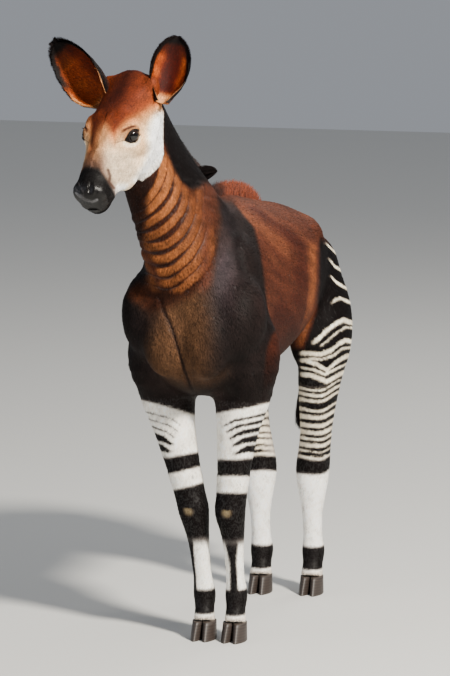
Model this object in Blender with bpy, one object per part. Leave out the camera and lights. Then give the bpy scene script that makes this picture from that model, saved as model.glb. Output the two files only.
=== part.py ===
"""A juvenile okapi standing at rest, life size, in metres, with +Z up.

The animal faces -Y and its left side is +X. The body is lofted from named stations, rounded into one
form, and then parted with thin cuts where a person would name its parts.
"""

import math
import random

import bmesh
import bpy
import numpy as np
from mathutils import Matrix, Vector

# Driving dimensions, in metres
GAP = 0.0003
BODY_VOXEL = 0.0065
BODY_TRIANGLES = 6300

# The cuts that part the body, as heights above the ground or as points and normals
LEG_TOP = 0.640
KNEE_CUT = 0.425
COLLAR_POINT = (0.0, -0.075, 1.075)
COLLAR_NORMAL = (0.0, -0.62, 0.785)
NAPE_POINT = (0.0, -0.315, 1.385)
NAPE_NORMAL = (-0.10, -0.855, 0.509)

# The torso: how far back, sideways centre, top, bottom and half width of each section
TORSO = (
    (-0.205, -0.046, 0.975, 0.800, 0.060),
    (-0.170, -0.046, 1.040, 0.725, 0.115),
    (-0.100, -0.046, 1.105, 0.672, 0.152),
    (0.000, -0.043, 1.160, 0.652, 0.162),
    (0.100, -0.040, 1.178, 0.650, 0.160),
    (0.230, -0.036, 1.160, 0.662, 0.163),
    (0.370, -0.031, 1.136, 0.688, 0.165),
    (0.500, -0.026, 1.117, 0.722, 0.156),
    (0.610, -0.022, 1.090, 0.765, 0.142),
    (0.710, -0.020, 1.040, 0.790, 0.122),
    (0.780, -0.020, 0.970, 0.800, 0.092),
    (0.825, -0.020, 0.900, 0.820, 0.050),
)

# The neck from inside the chest to the poll: centre, half width and half depth
NECK = (
    (-0.045, 0.030, 0.920, 0.130, 0.190),
    (-0.055, -0.035, 1.010, 0.122, 0.182),
    (-0.078, -0.105, 1.115, 0.106, 0.160),
    (-0.111, -0.170, 1.225, 0.090, 0.138),
    (-0.140, -0.225, 1.340, 0.078, 0.115),
    (-0.158, -0.265, 1.430, 0.070, 0.096),
    (-0.164, -0.300, 1.480, 0.054, 0.070),
)

# One leg of each kind from the top down: place back, height, half width and half length of each section
FORE_LEG = (
    (0.045, 0.860, 0.060, 0.100),
    (0.030, 0.760, 0.070, 0.100),
    (0.010, 0.670, 0.079, 0.088),
    (-0.008, 0.570, 0.058, 0.063),
    (-0.012, 0.470, 0.047, 0.050),
    (-0.013, 0.395, 0.042, 0.044),
    (-0.014, 0.350, 0.042, 0.046),
    (-0.002, 0.308, 0.036, 0.038),
    (0.008, 0.255, 0.029, 0.032),
    (0.014, 0.170, 0.0255, 0.029),
    (0.020, 0.118, 0.031, 0.037),
    (0.010, 0.082, 0.027, 0.030),
    (-0.003, 0.046, 0.031, 0.036),
)
HIND_LEG = (
    (0.660, 0.900, 0.040, 0.080),
    (0.680, 0.800, 0.066, 0.112),
    (0.668, 0.710, 0.070, 0.116),
    (0.665, 0.610, 0.060, 0.092),
    (0.680, 0.520, 0.050, 0.073),
    (0.700, 0.430, 0.044, 0.057),
    (0.710, 0.350, 0.048, 0.054),
    (0.700, 0.295, 0.042, 0.045),
    (0.695, 0.225, 0.030, 0.034),
    (0.693, 0.160, 0.028, 0.032),
    (0.695, 0.118, 0.033, 0.039),
    (0.685, 0.082, 0.029, 0.032),
    (0.672, 0.046, 0.033, 0.038),
)
# Each leg's sections, where its top, its knee or hock and its foot stand sideways, and its shift back
LEGS = {
    "foreleg_left": (FORE_LEG, 0.054, 0.027, 0.038, 0.000),
    "foreleg_right": (FORE_LEG, -0.150, -0.074, -0.044, 0.000),
    "hindleg_left": (HIND_LEG, 0.086, 0.048, 0.058, 0.000),
    "hindleg_right": (HIND_LEG, -0.136, -0.100, -0.084, -0.020),
}
LEG_SPAN = 0.300
KNEE_HEIGHT = 0.350
HOOF_TOP = 0.050
HOOF_LENGTH = 0.088
CLAW_WIDTH = 0.033

# The head's own frame: the poll, the way to the muzzle, and the way to the left
POLL = Vector((-0.158, -0.300, 1.533))
HEAD_ALONG = Vector((-0.108, -0.724, -0.680)).normalized()
HEAD_LEFT = Vector((0.971, -0.225, -0.020))
HEAD_LEFT = (HEAD_LEFT - HEAD_ALONG * HEAD_LEFT.dot(HEAD_ALONG)).normalized()
HEAD_UP = HEAD_ALONG.cross(HEAD_LEFT).normalized()
# Sections of the head: how far along, height of the middle, half width, half depth
HEAD = (
    (-0.025, -0.062, 0.050, 0.055),
    (0.010, -0.074, 0.069, 0.084),
    (0.060, -0.092, 0.077, 0.102),
    (0.110, -0.102, 0.080, 0.113),
    (0.155, -0.103, 0.079, 0.110),
    (0.200, -0.097, 0.070, 0.098),
    (0.250, -0.088, 0.057, 0.080),
    (0.300, -0.081, 0.048, 0.065),
    (0.345, -0.080, 0.046, 0.056),
    (0.375, -0.083, 0.042, 0.047),
    (0.393, -0.086, 0.029, 0.033),
)
EYE_ALONG = 0.180
EYE_SIDE = 0.057
EYE_UP = -0.047
EYE_RADIUS = 0.0200
LID_WALL = 0.0035
LID_OPENING = (0.0190, 0.0150)

MOUTH_RISE = 0.16
MOUTH_DROP = 0.112
MOUTH_DEPTH = 0.008
NOSTRIL = (0.384, 0.031, -0.052)
NOSTRIL_SIZE = (0.013, 0.0125, 0.0045)

# Ears: root on the head, direction to the tip, way that the cup faces, length and half width
EARS = {
    "ear_left": ((0.03, 0.087, -0.068), (0.12, 0.34, 0.93), (0.26, -0.94, 0.14), 0.186, 0.052),
    "ear_right": ((0.046, -0.062, -0.050), (-0.72, -0.05, 0.70), (-0.40, -0.90, 0.02), 0.212, 0.066),
}

# The crest under the mane, from the poll down the nape to the back
MANE = (
    (-0.158, -0.248, 1.490, 0.012, 0.018),
    (-0.142, -0.175, 1.425, 0.013, 0.026),
    (-0.118, -0.098, 1.328, 0.013, 0.028),
    (-0.086, -0.015, 1.238, 0.014, 0.028),
    (-0.054, 0.070, 1.182, 0.016, 0.026),
    (-0.040, 0.180, 1.172, 0.018, 0.026),
    (-0.036, 0.300, 1.155, 0.018, 0.020),
    (-0.032, 0.400, 1.122, 0.014, 0.012),
)

EAR_OUTLINE = (
    (0.0, 0.10, 0.22, 0.36, 0.52, 0.68, 0.82, 0.92, 0.98, 1.0),
    (0.34, 0.50, 0.76, 0.95, 1.0, 0.93, 0.74, 0.48, 0.22, 0.06),
)
EAR_BOW = 0.016

TAIL = (
    (-0.020, 0.740, 0.950, 0.022),
    (-0.020, 0.806, 0.930, 0.021),
    (-0.019, 0.850, 0.870, 0.017),
    (-0.017, 0.868, 0.780, 0.0135),
    (-0.015, 0.868, 0.690, 0.0115),
    (-0.014, 0.864, 0.610, 0.0120),
    (-0.013, 0.860, 0.560, 0.0130),
    (-0.013, 0.856, 0.500, 0.0080),
    (-0.013, 0.855, 0.470, 0.0030),
)

# Locks: how many, and the length, width and thickness of one
NAPE_LOCKS = (14, 0.046, 0.024, 0.009)
BACK_LOCKS = (8, 0.038, 0.024, 0.009)
TUFT_LOCKS = (4, 0.060, 0.018, 0.008)
TASSEL_LOCKS = (14, 0.125, 0.018, 0.008)
LOCK_ROOT = 0.014
LOCK_SHAPE = (
    (0.0, 0.85, 1.0),
    (0.35, 1.0, 0.90),
    (0.75, 0.62, 0.62),
    (1.0, 0.07, 0.14),
)


def clear_scene():
    for obj in list(bpy.data.objects):
        bpy.data.objects.remove(obj, do_unlink=True)


def material(name, colour, roughness):
    made = bpy.data.materials.new(name)
    made.use_nodes = True
    shader = made.node_tree.nodes["Principled BSDF"]
    shader.inputs["Base Color"].default_value = (*colour, 1)
    shader.inputs["Roughness"].default_value = roughness
    return made


def curve_points(rows, steps):
    """Catmull-Rom points through the rows of numbers, with this many steps between two of them."""
    rows = np.array(rows, float)
    padded = np.vstack([2 * rows[0] - rows[1], rows, 2 * rows[-1] - rows[-2]])
    found = []
    for i in range(len(rows) - 1):
        a, b, c, d = padded[i : i + 4]
        for step in range(steps):
            t = step / steps
            curve = (2 * a - 5 * b + 4 * c - d) * t**2 + (3 * b - a - 3 * c + d) * t**3
            found.append(0.5 * (2 * b + (c - a) * t + curve))
    found.append(rows[-1])
    return np.array(found)


def loft(bm, rings):
    """Bridges closed rings of points, all of one count, and caps both ends."""
    verts = [[bm.verts.new(p) for p in ring] for ring in rings]
    count = len(verts[0])
    for lower, upper in zip(verts, verts[1:]):
        for i in range(count):
            j = (i + 1) % count
            bm.faces.new((lower[i], lower[j], upper[j], upper[i]))
    bm.faces.new(verts[0][::-1])
    bm.faces.new(verts[-1])


def oval(centre, side, deep, half_side, half_deep, count=28, square=1.0):
    """A ring round the centre. A square under 1 makes the oval fuller."""
    ring = []
    for i in range(count):
        angle = 2 * math.pi * i / count
        c, s = math.cos(angle), math.sin(angle)
        across = math.copysign(abs(c) ** square, c) * half_side
        away = math.copysign(abs(s) ** square, s) * half_deep
        ring.append(Vector(centre) + Vector(side) * across + Vector(deep) * away)
    return ring


def limb(bm, rows, side=(1, 0, 0), steps=3, count=28):
    """A tube through rows of x, y, z, half width and half depth, each ring square to the path."""
    rows = curve_points(rows, steps)
    rings = []
    for i, row in enumerate(rows):
        ahead = Vector(rows[min(i + 1, len(rows) - 1)][:3])
        behind = Vector(rows[max(i - 1, 0)][:3])
        path = (ahead - behind).normalized()
        across = (Vector(side) - path * path.dot(Vector(side))).normalized()
        rings.append(oval(row[:3], across, path.cross(across), row[3], row[4], count, 0.92))
    loft(bm, rings)


def ball(bm, centre, radii, turn=None):
    """A smooth swelling: a sphere stretched to the radii and turned by the angles in degrees."""
    angles = [math.radians(a) for a in (turn or (0, 0, 0))]
    place = Matrix.Translation(centre)
    for angle, axis in zip(angles, "XYZ"):
        place = place @ Matrix.Rotation(angle, 4, axis)
    place = place @ Matrix.Diagonal((*radii, 1))
    bmesh.ops.create_icosphere(bm, subdivisions=4, radius=1, matrix=place)


def leg_rows(name):
    rows, top_x, knee_x, foot_x, shift = LEGS[name]
    found = []
    for y, z, half_wide, half_long in rows:
        rise = min(1.2, (z - KNEE_HEIGHT) / LEG_SPAN)
        end_x = top_x if rise > 0 else foot_x
        x = knee_x + (end_x - knee_x) * (rise if rise > 0 else 1 - z / KNEE_HEIGHT)
        found.append((x, y + shift, z, half_wide, half_long))
    return found


def on_head(along, left, up):
    return POLL + HEAD_ALONG * along + HEAD_LEFT * left + HEAD_UP * up


def add_torso(bm):
    rows = curve_points(TORSO, 4)
    rings = []
    for y, x, top, bottom, half in rows:
        middle = (top + bottom) / 2
        rings.append(oval((x, y, middle), (1, 0, 0), (0, 0, 1), half, (top - bottom) / 2, 40, 0.93))
    loft(bm, rings)
    for way in (1, -1):
        x = -0.045
        # shoulder blade, point of the shoulder, upper arm and breast
        ball(bm, (x + way * 0.098, -0.020, 0.950), (0.062, 0.105, 0.150), (18, 0, 0))
        ball(bm, (x + way * 0.119, -0.100, 0.880), (0.077, 0.095, 0.120), (0, 0, 0))
        ball(bm, (x + way * 0.126, -0.015, 0.765), (0.080, 0.108, 0.130), (0, 0, 0))
        ball(bm, (x + way * 0.055, -0.165, 0.830), (0.068, 0.060, 0.110), (0, 0, 0))
        # hip, thigh and buttock
        x = -0.020
        ball(bm, (x + way * 0.070, 0.560, 1.000), (0.070, 0.085, 0.082), (0, 0, 0))
        ball(bm, (x + way * 0.076, 0.680, 0.868), (0.074, 0.126, 0.145), (0, 0, 0))
        ball(bm, (x + way * 0.078, 0.755, 0.785), (0.066, 0.085, 0.125), (-8, 0, 0))
        ball(bm, (x + way * 0.090, 0.605, 0.735), (0.060, 0.078, 0.105), (12, 0, 0))


def add_hock(bm, name):
    """The point of the hock, which stands out behind the leg."""
    rows, _, knee_x, _, shift = LEGS[name]
    if rows is HIND_LEG:
        ball(bm, (knee_x, 0.745 + shift, 0.372), (0.020, 0.024, 0.036), (-12, 0, 0))
        ball(bm, (knee_x, 0.738 + shift, 0.440), (0.017, 0.018, 0.080), (-8, 0, 0))


def add_head(bm):
    rings = []
    for along, middle, half_wide, half_deep in curve_points(HEAD, 4):
        rings.append(oval(on_head(along, 0, middle), HEAD_LEFT, HEAD_UP, half_wide, half_deep, 32, 0.90))
    loft(bm, rings)
    axes = Matrix((HEAD_LEFT, HEAD_ALONG, HEAD_UP)).transposed().to_4x4()

    def lump(along, left, up, wide, long, deep):
        place = Matrix.Translation(on_head(along, left, up)) @ axes @ Matrix.Diagonal((wide, long, deep, 1))
        bmesh.ops.create_icosphere(bm, subdivisions=4, radius=1, matrix=place)

    lump(0.055, 0, -0.020, 0.062, 0.070, 0.028)
    lump(0.370, 0, -0.058, 0.040, 0.031, 0.034)
    lump(0.350, 0, -0.122, 0.031, 0.040, 0.022)
    for way in (1, -1):
        lump(0.022, way * 0.054, -0.034, 0.030, 0.036, 0.034)
        lump(EYE_ALONG - 0.008, way * 0.050, -0.036, 0.026, 0.052, 0.026)
        lump(EYE_ALONG + 0.006, way * 0.050, -0.076, 0.022, 0.050, 0.022)
        lump(0.105, way * 0.042, -0.155, 0.036, 0.080, 0.058)
        lump(0.210, way * 0.034, -0.130, 0.028, 0.085, 0.042)
        lump(0.366, way * 0.026, -0.066, 0.023, 0.029, 0.030)
        lump(0.344, way * 0.031, -0.100, 0.018, 0.034, 0.018)


def new_object(name, bm):
    mesh = bpy.data.meshes.new(name)
    bm.to_mesh(mesh)
    bm.free()
    obj = bpy.data.objects.new(name, mesh)
    bpy.context.scene.collection.objects.link(obj)
    return obj


def applied(obj):
    """The object's mesh with its modifiers, which are then removed."""
    graph = bpy.context.evaluated_depsgraph_get()
    graph.update()
    mesh = bpy.data.meshes.new_from_object(obj.evaluated_get(graph))
    old = obj.data
    obj.modifiers.clear()
    obj.data = mesh
    bpy.data.meshes.remove(old)
    return obj


def rounded_body():
    bm = bmesh.new()
    add_torso(bm)
    limb(bm, NECK)
    for name in LEGS:
        limb(bm, leg_rows(name))
        add_hock(bm, name)
    limb(bm, MANE)
    add_head(bm)
    bmesh.ops.recalc_face_normals(bm, faces=bm.faces)
    body = new_object("body", bm)
    remesh = body.modifiers.new("one form", "REMESH")
    remesh.mode = "VOXEL"
    remesh.voxel_size = BODY_VOXEL
    body = applied(body)
    trunk = body.vertex_groups.new(name="trunk")
    for vert in body.data.vertices:
        weight = min(1, max(0, (vert.co.z - LEG_TOP + 0.06) / 0.1)) * min(1, max(0, (vert.co.y + 0.36) / 0.08))
        trunk.add([vert.index], weight, "REPLACE")
    for name, group, turns in (("muscle", "trunk", 45), ("skin", "", 8)):
        smooth = body.modifiers.new(name, "SMOOTH")
        smooth.factor = 0.5
        smooth.iterations = turns
        smooth.vertex_group = group
    return applied(body)


def carve(body):
    """Presses the mouth line into the head."""
    for vert in body.data.vertices:
        away = vert.co - POLL
        along, left, up = away.dot(HEAD_ALONG), away.dot(HEAD_LEFT), away.dot(HEAD_UP)
        if along < 0.10 or along > 0.45 or abs(left) > 0.09:
            continue
        inward = (on_head(along, 0, -0.085) - vert.co).normalized()
        lip_line = up + MOUTH_DROP - MOUTH_RISE * (0.40 - along)
        mouth = math.exp(-((lip_line / 0.005) ** 2)) * min(1, max(0, (along - 0.285) / 0.03))
        vert.co += inward * (MOUTH_DEPTH * mouth)


def head_weight(body):
    """Faces of the head and the feet stay finer than those of the trunk when the mesh is thinned."""
    group = body.vertex_groups.new(name="fine")
    for vert in body.data.vertices:
        along = (vert.co - POLL).dot(HEAD_ALONG)
        weight = 0.86
        if vert.co.y < -0.30 and vert.co.z > 1.15:
            weight = 0.12 if along > 0.28 else 0.55
        elif vert.co.z < 0.50:
            weight = 0.70
        group.add([vert.index], weight, "REPLACE")


def thinned(body):
    head_weight(body)
    slim = body.modifiers.new("fewer faces", "DECIMATE")
    slim.vertex_group = "fine"
    slim.vertex_group_factor = 1.0
    faces = sum(len(p.vertices) - 2 for p in body.data.polygons)
    slim.ratio = BODY_TRIANGLES / faces
    slim.use_collapse_triangulate = True
    return applied(body)


def half(source, name, point, normal, keep_front):
    """A copy of the mesh on one side of the plane, half the gap away from it and closed by a flat face."""
    bm = bmesh.new()
    bm.from_mesh(source.data)
    way = Vector(normal).normalized() * (1 if keep_front else -1)
    edge = Vector(point) + way * GAP / 2
    cut = bmesh.ops.bisect_plane(
        bm, geom=bm.verts[:] + bm.edges[:] + bm.faces[:], dist=1e-6, plane_co=edge, plane_no=-way, clear_outer=True
    )
    edges = [e for e in cut["geom_cut"] if isinstance(e, bmesh.types.BMEdge)]
    bmesh.ops.holes_fill(bm, edges=edges, sides=0)
    bmesh.ops.triangulate(bm, faces=bm.faces[:])
    return new_object(name, bm)


def islands(obj):
    """The separate closed pieces of the object, as objects, largest first."""
    bm = bmesh.new()
    bm.from_mesh(obj.data)
    bm.verts.ensure_lookup_table()
    seen, groups = set(), []
    for start in bm.verts:
        if start.index in seen:
            continue
        stack, group = [start], []
        seen.add(start.index)
        while stack:
            vert = stack.pop()
            group.append(vert.index)
            for e in vert.link_edges:
                other = e.other_vert(vert)
                if other.index not in seen:
                    seen.add(other.index)
                    stack.append(other)
        groups.append(set(group))
    bm.free()
    found = []
    for group in sorted(groups, key=len, reverse=True):
        piece = bmesh.new()
        piece.from_mesh(obj.data)
        piece.verts.ensure_lookup_table()
        bmesh.ops.delete(piece, geom=[v for v in piece.verts if v.index not in group], context="VERTS")
        found.append(new_object(obj.name + "_piece", piece))
    return found


def drop(*objs):
    for obj in objs:
        bpy.data.objects.remove(obj, do_unlink=True)


def largest(obj, name):
    pieces = islands(obj)
    drop(obj, *pieces[1:])
    pieces[0].name = name
    return pieces[0]


def middle(obj):
    corners = np.array([v.co for v in obj.data.vertices])
    return corners.mean(axis=0)


def part_body(body):
    """Cuts the rounded body into head, neck, torso and the upper and lower part of each leg."""
    nodes = {}
    front = half(body, "front", COLLAR_POINT, COLLAR_NORMAL, True)
    rear = half(body, "rear", COLLAR_POINT, COLLAR_NORMAL, False)
    nodes["head"] = largest(half(front, "head", NAPE_POINT, NAPE_NORMAL, True), "head")
    nodes["neck"] = largest(half(front, "neck", NAPE_POINT, NAPE_NORMAL, False), "neck")
    nodes["torso"] = largest(half(rear, "torso", (0, 0, LEG_TOP), (0, 0, 1), True), "torso")
    legs = half(rear, "legs", (0, 0, LEG_TOP), (0, 0, 1), False)
    upper = half(legs, "upper", (0, 0, KNEE_CUT), (0, 0, 1), True)
    lower = half(legs, "lower", (0, 0, KNEE_CUT), (0, 0, 1), False)
    lower_cut = half(lower, "lower_cut", (0, 0, HOOF_TOP), (0, 0, 1), True)
    for stage, whole in (("upper", upper), ("lower", lower_cut)):
        for piece in islands(whole)[:4]:
            x, y, _ = middle(piece)
            end = "foreleg" if y < 0.35 else "hindleg"
            centre = -0.02
            name = f"{end}_{'left' if x > centre else 'right'}_{stage}"
            piece.name = name
            nodes[name] = piece
    drop(body, front, rear, legs, upper, lower, lower_cut)
    return nodes


def boolean(obj, other, operation, solver="EXACT"):
    change = obj.modifiers.new(operation.lower(), "BOOLEAN")
    change.operation = operation
    change.solver = solver
    change.object = other
    return applied(obj)


def fitted(obj, base):
    """Cuts the base away from the object, with the gap between them, and keeps the main piece."""
    bm = bmesh.new()
    bm.from_mesh(base.data)
    bm.normal_update()
    for vert in bm.verts:
        vert.co += vert.normal * GAP
    cutter = new_object("cutter", bm)
    name = obj.name
    boolean(obj, cutter, "DIFFERENCE")
    drop(cutter)
    return largest(obj, name)


def eye_way(way):
    """The direction in which an eye looks: sideways, a little forward and up."""
    return (HEAD_LEFT * way * 0.70 + HEAD_ALONG * 0.52 + HEAD_UP * 0.32).normalized()


def egg(name, centre, radii, axes):
    bm = bmesh.new()
    turn = Matrix(axes).transposed().to_4x4()
    place = Matrix.Translation(centre) @ turn @ Matrix.Diagonal((*radii, 1))
    bmesh.ops.create_icosphere(bm, subdivisions=3, radius=1, matrix=place)
    return new_object(name, bm)


def eye_axes(way):
    """The way the eye looks, and the long and the short way of its opening."""
    out = eye_way(way)
    along = (HEAD_ALONG - out * out.dot(HEAD_ALONG)).normalized()
    return out, along, out.cross(along)


def make_eye(name, way):
    centre = on_head(EYE_ALONG, way * EYE_SIDE, EYE_UP)
    return egg(name, centre, (EYE_RADIUS,) * 3, eye_axes(way))


def open_eye(head, way):
    """Adds the lids as a shell round the eyeball, then cuts the space of the eyeball and the opening."""
    centre = on_head(EYE_ALONG, way * EYE_SIDE, EYE_UP)
    axes = eye_axes(way)
    shell = EYE_RADIUS + LID_WALL
    steps = (
        ("UNION", centre, (shell, shell, shell)),
        ("DIFFERENCE", centre + axes[0] * EYE_RADIUS, (EYE_RADIUS, *LID_OPENING)),
        ("DIFFERENCE", centre, (EYE_RADIUS + GAP,) * 3),
    )
    for operation, place, radii in steps:
        tool = egg("eye tool", place, radii, axes)
        boolean(head, tool, operation)
        drop(tool)
    return largest(head, "head")


def open_nostril(head, way):
    """Cuts a slanting slit into one side of the muzzle's front."""
    along, side, up = NOSTRIL
    inward = (HEAD_ALONG * -0.75 + HEAD_LEFT * -way * 0.60 + HEAD_UP * 0.05).normalized()
    slit = (HEAD_UP * 0.80 - HEAD_ALONG * 0.55 + HEAD_LEFT * way * 0.35)
    slit = (slit - inward * slit.dot(inward)).normalized()
    tool = egg("nostril", on_head(along, way * side, up), NOSTRIL_SIZE, (inward, slit, inward.cross(slit)))
    boolean(head, tool, "DIFFERENCE")
    drop(tool)
    return largest(head, "head")


def make_ear(name):
    """A cupped leaf: rows along its length, each an arc across, given a wall and rounded edges."""
    root, out, faces, length, half_wide = EARS[name]
    base = on_head(*root)
    out = Vector(out).normalized()
    faces = Vector(faces)
    faces = (faces - out * faces.dot(out)).normalized()
    across = out.cross(faces).normalized()
    rows, columns = 12, 10
    bm = bmesh.new()
    grid = []
    for i in range(rows):
        t = i / (rows - 1)
        wide = half_wide * np.interp(t, EAR_OUTLINE[0], EAR_OUTLINE[1])
        cup = math.radians(150 - 112 * t**0.55)
        line = []
        for j in range(columns):
            angle = cup * (2 * j / (columns - 1) - 1)
            radius = wide / max(math.sin(min(cup, math.pi / 2)), 0.3)
            place = base + out * (length * (t - 0.10))
            place += across * math.sin(angle) * radius + faces * (1 - math.cos(angle)) * radius
            place -= faces * EAR_BOW * math.sin(math.pi * t)
            line.append(bm.verts.new(place))
        grid.append(line)
    for lower, upper in zip(grid, grid[1:]):
        for j in range(columns - 1):
            bm.faces.new((lower[j], lower[j + 1], upper[j + 1], upper[j]))
    bmesh.ops.recalc_face_normals(bm, faces=bm.faces)
    ear = new_object(name, bm)
    wall = ear.modifiers.new("wall", "SOLIDIFY")
    wall.thickness = 0.005
    wall.offset = 0
    ear = applied(ear)
    bm = bmesh.new()
    bm.from_mesh(ear.data)
    bmesh.ops.recalc_face_normals(bm, faces=bm.faces)
    bmesh.ops.triangulate(bm, faces=bm.faces[:])
    bm.to_mesh(ear.data)
    bm.free()
    return ear


def make_tail():
    bm = bmesh.new()
    rows = [(x, y, z, r, r) for x, y, z, r in TAIL]
    path = curve_points(rows, 2)
    rings = []
    for i, row in enumerate(path):
        ahead = Vector(path[min(i + 1, len(path) - 1)][:3])
        behind = Vector(path[max(i - 1, 0)][:3])
        way = (ahead - behind).normalized()
        across = Vector((1, 0, 0))
        rings.append(oval(row[:3], across, way.cross(across), row[3], row[4], 12))
    loft(bm, rings)
    bmesh.ops.recalc_face_normals(bm, faces=bm.faces)
    bmesh.ops.triangulate(bm, faces=bm.faces[:])
    return new_object("tail", bm)


def lock(root, out, lie, length, width, thick, bend):
    """One flat tapered lock as an object: it leaves the skin along out and bends over towards lie."""
    bm = bmesh.new()
    rings = []
    place = Vector(root) - out * LOCK_ROOT
    reached = 0.0
    across = out.cross(lie).normalized()
    for share, wide, deep in LOCK_SHAPE:
        way = (out * (1 - bend * share) + lie * (0.35 + bend * share)).normalized()
        place = place + way * ((length + LOCK_ROOT) * (share - reached))
        reached = share
        face = way.cross(across).normalized()
        rings.append(oval(place, across, face, width / 2 * wide, thick / 2 * deep, 4))
    loft(bm, rings)
    bmesh.ops.recalc_face_normals(bm, faces=bm.faces)
    bmesh.ops.triangulate(bm, faces=bm.faces[:])
    return new_object("lock", bm)


def crest_spots(low, high, count, rng):
    """Places along the crest between two ways back, with the way out of the skin and the way down it."""
    path = curve_points(MANE, 8)
    found = []
    for i in range(count):
        back = low + (high - low) * (i + 0.5) / count + rng.uniform(-0.006, 0.006)
        k = int(np.clip(np.searchsorted(path[:, 1], back), 1, len(path) - 1))
        share = (back - path[k - 1][1]) / (path[k][1] - path[k - 1][1])
        row = path[k - 1] + (path[k] - path[k - 1]) * share
        down = Vector(path[k][:3] - path[k - 1][:3]).normalized()
        side = (Vector((1, 0, 0)) - down * down.x).normalized()
        out = side.cross(down).normalized()
        out = out if out.z > 0 else -out
        found.append((Vector(row[:3]), out, down, side, row[4]))
    return found


def crest_locks(low, high, sizes, rng, lift):
    """Two overlapping rows of locks, one on each side of the crest's middle."""
    count, length, width, thick = sizes
    made = []
    for row in (-1, 1):
        for place, out, down, side, deep in crest_spots(low, high, count, rng):
            lean = (out * lift + side * row * rng.uniform(0.15, 0.40) + down * 0.7).normalized()
            root = place + out * (deep * 0.80) + side * (row * 0.006)
            long = length * rng.uniform(0.85, 1.15)
            made.append(lock(root, lean, down, long, width * rng.uniform(0.9, 1.1), thick, 0.7))
    return made


def tassel_locks(rng):
    """Locks that hang from the lower tail in three overlapping rings."""
    count, length, width, thick = TASSEL_LOCKS
    made = []
    for i in range(count):
        ring = i % 3
        angle = 2 * math.pi * (i * 0.382) + rng.uniform(-0.2, 0.2)
        away = Vector((math.cos(angle), math.sin(angle), 0))
        height = (0.590, 0.555, 0.520)[ring]
        root = Vector((TAIL[5][0], TAIL[5][1] - 0.003, height)) + away * 0.008
        out = (away * 0.55 + Vector((0, 0, -1))).normalized()
        long = (length - 0.025 * ring) * rng.uniform(0.9, 1.08)
        made.append(lock(root, out, Vector((0, 0, -1)), long, width, thick, 0.6))
    return made


def joined(obj, locks):
    """Joins the locks to the object by one union and keeps its largest closed surface."""
    name = obj.name
    group = bpy.data.collections.new("locks")
    bpy.context.scene.collection.children.link(group)
    for piece in locks:
        bpy.context.scene.collection.objects.unlink(piece)
        group.objects.link(piece)
    union = obj.modifiers.new("locks", "BOOLEAN")
    union.operation = "UNION"
    union.operand_type = "COLLECTION"
    union.collection = group
    union.solver = "EXACT"
    obj = applied(obj)
    drop(*locks)
    bpy.data.collections.remove(group)
    return largest(obj, name)


def make_hoof(name, x, y):
    """A cloven hoof: two tapered claws side by side, joined behind, flat below."""
    bm = bmesh.new()
    for way in (1, -1):
        rings = []
        for share, height in ((0.0, 0.0), (0.15, 0.008), (1.0, HOOF_TOP - GAP / 2)):
            front = y - HOOF_LENGTH * (0.62 - 0.25 * share)
            back = y + HOOF_LENGTH * (0.38 - 0.02 * share)
            wide = CLAW_WIDTH * (0.52 if share else 0.50)
            middle_x = x + way * CLAW_WIDTH * (0.52 - 0.06 * share)
            ring = []
            for i in range(14):
                angle = 2 * math.pi * i / 14
                c, s = math.cos(angle), math.sin(angle)
                place = (front + back) / 2 - (back - front) / 2 * c
                narrow = 1 - 0.30 * max(c, 0) ** 2
                ring.append(Vector((middle_x + wide * s * narrow - way * 0.002 * max(c, 0), place, height)))
            rings.append(ring)
        loft(bm, rings)
    bmesh.ops.recalc_face_normals(bm, faces=bm.faces)
    claws = new_object(name, bm)
    pieces = islands(claws)
    drop(claws)
    hoof = boolean(pieces[0], pieces[1], "UNION")
    drop(pieces[1])
    heel = bmesh.new()
    place = Matrix.Translation((x, y + HOOF_LENGTH * 0.20, 0.030)) @ Matrix.Diagonal((0.016, 0.018, 0.017, 1))
    bmesh.ops.create_icosphere(heel, subdivisions=2, radius=1, matrix=place)
    heel_piece = new_object("heel", heel)
    hoof = boolean(hoof, heel_piece, "UNION")
    drop(heel_piece)
    return largest(hoof, name)


def finish(nodes):
    hide = material("hide", (0.16, 0.055, 0.03), 0.6)
    colours = {
        "head": material("face hide", (0.42, 0.22, 0.12), 0.6),
        "neck": material("neck hide", (0.20, 0.075, 0.035), 0.6),
        "torso": hide,
        "tail": material("tail hide", (0.10, 0.035, 0.02), 0.6),
        "ear_left": material("left ear hide", (0.18, 0.07, 0.03), 0.7),
        "ear_right": material("right ear hide", (0.18, 0.07, 0.03), 0.7),
        "eye_left": material("left eye", (0.01, 0.008, 0.01), 0.05),
        "eye_right": material("right eye", (0.01, 0.008, 0.01), 0.05),
    }
    for name, obj in nodes.items():
        if name not in colours:
            pale = "lower" in name
            colour = (0.75, 0.70, 0.62) if pale else (0.05, 0.03, 0.03)
            if name.startswith("hoof"):
                colour = (0.03, 0.025, 0.022)
            colours[name] = material(name.replace("_", " "), colour, 0.55)
        obj.data.materials.clear()
        obj.data.materials.append(colours[name])
        obj.data.shade_smooth()
        obj.data.set_sharp_from_angle(angle=math.radians(50))


def centre(nodes):
    """Moves all so that the box of the whole animal stands on z = 0 with its middle over the origin."""
    points = np.vstack([np.array([v.co for v in obj.data.vertices]) for obj in nodes.values()])
    low, high = points.min(axis=0), points.max(axis=0)
    shift = Matrix.Translation((-(low[0] + high[0]) / 2, -(low[1] + high[1]) / 2, -low[2]))
    for obj in nodes.values():
        obj.data.transform(shift)


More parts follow.
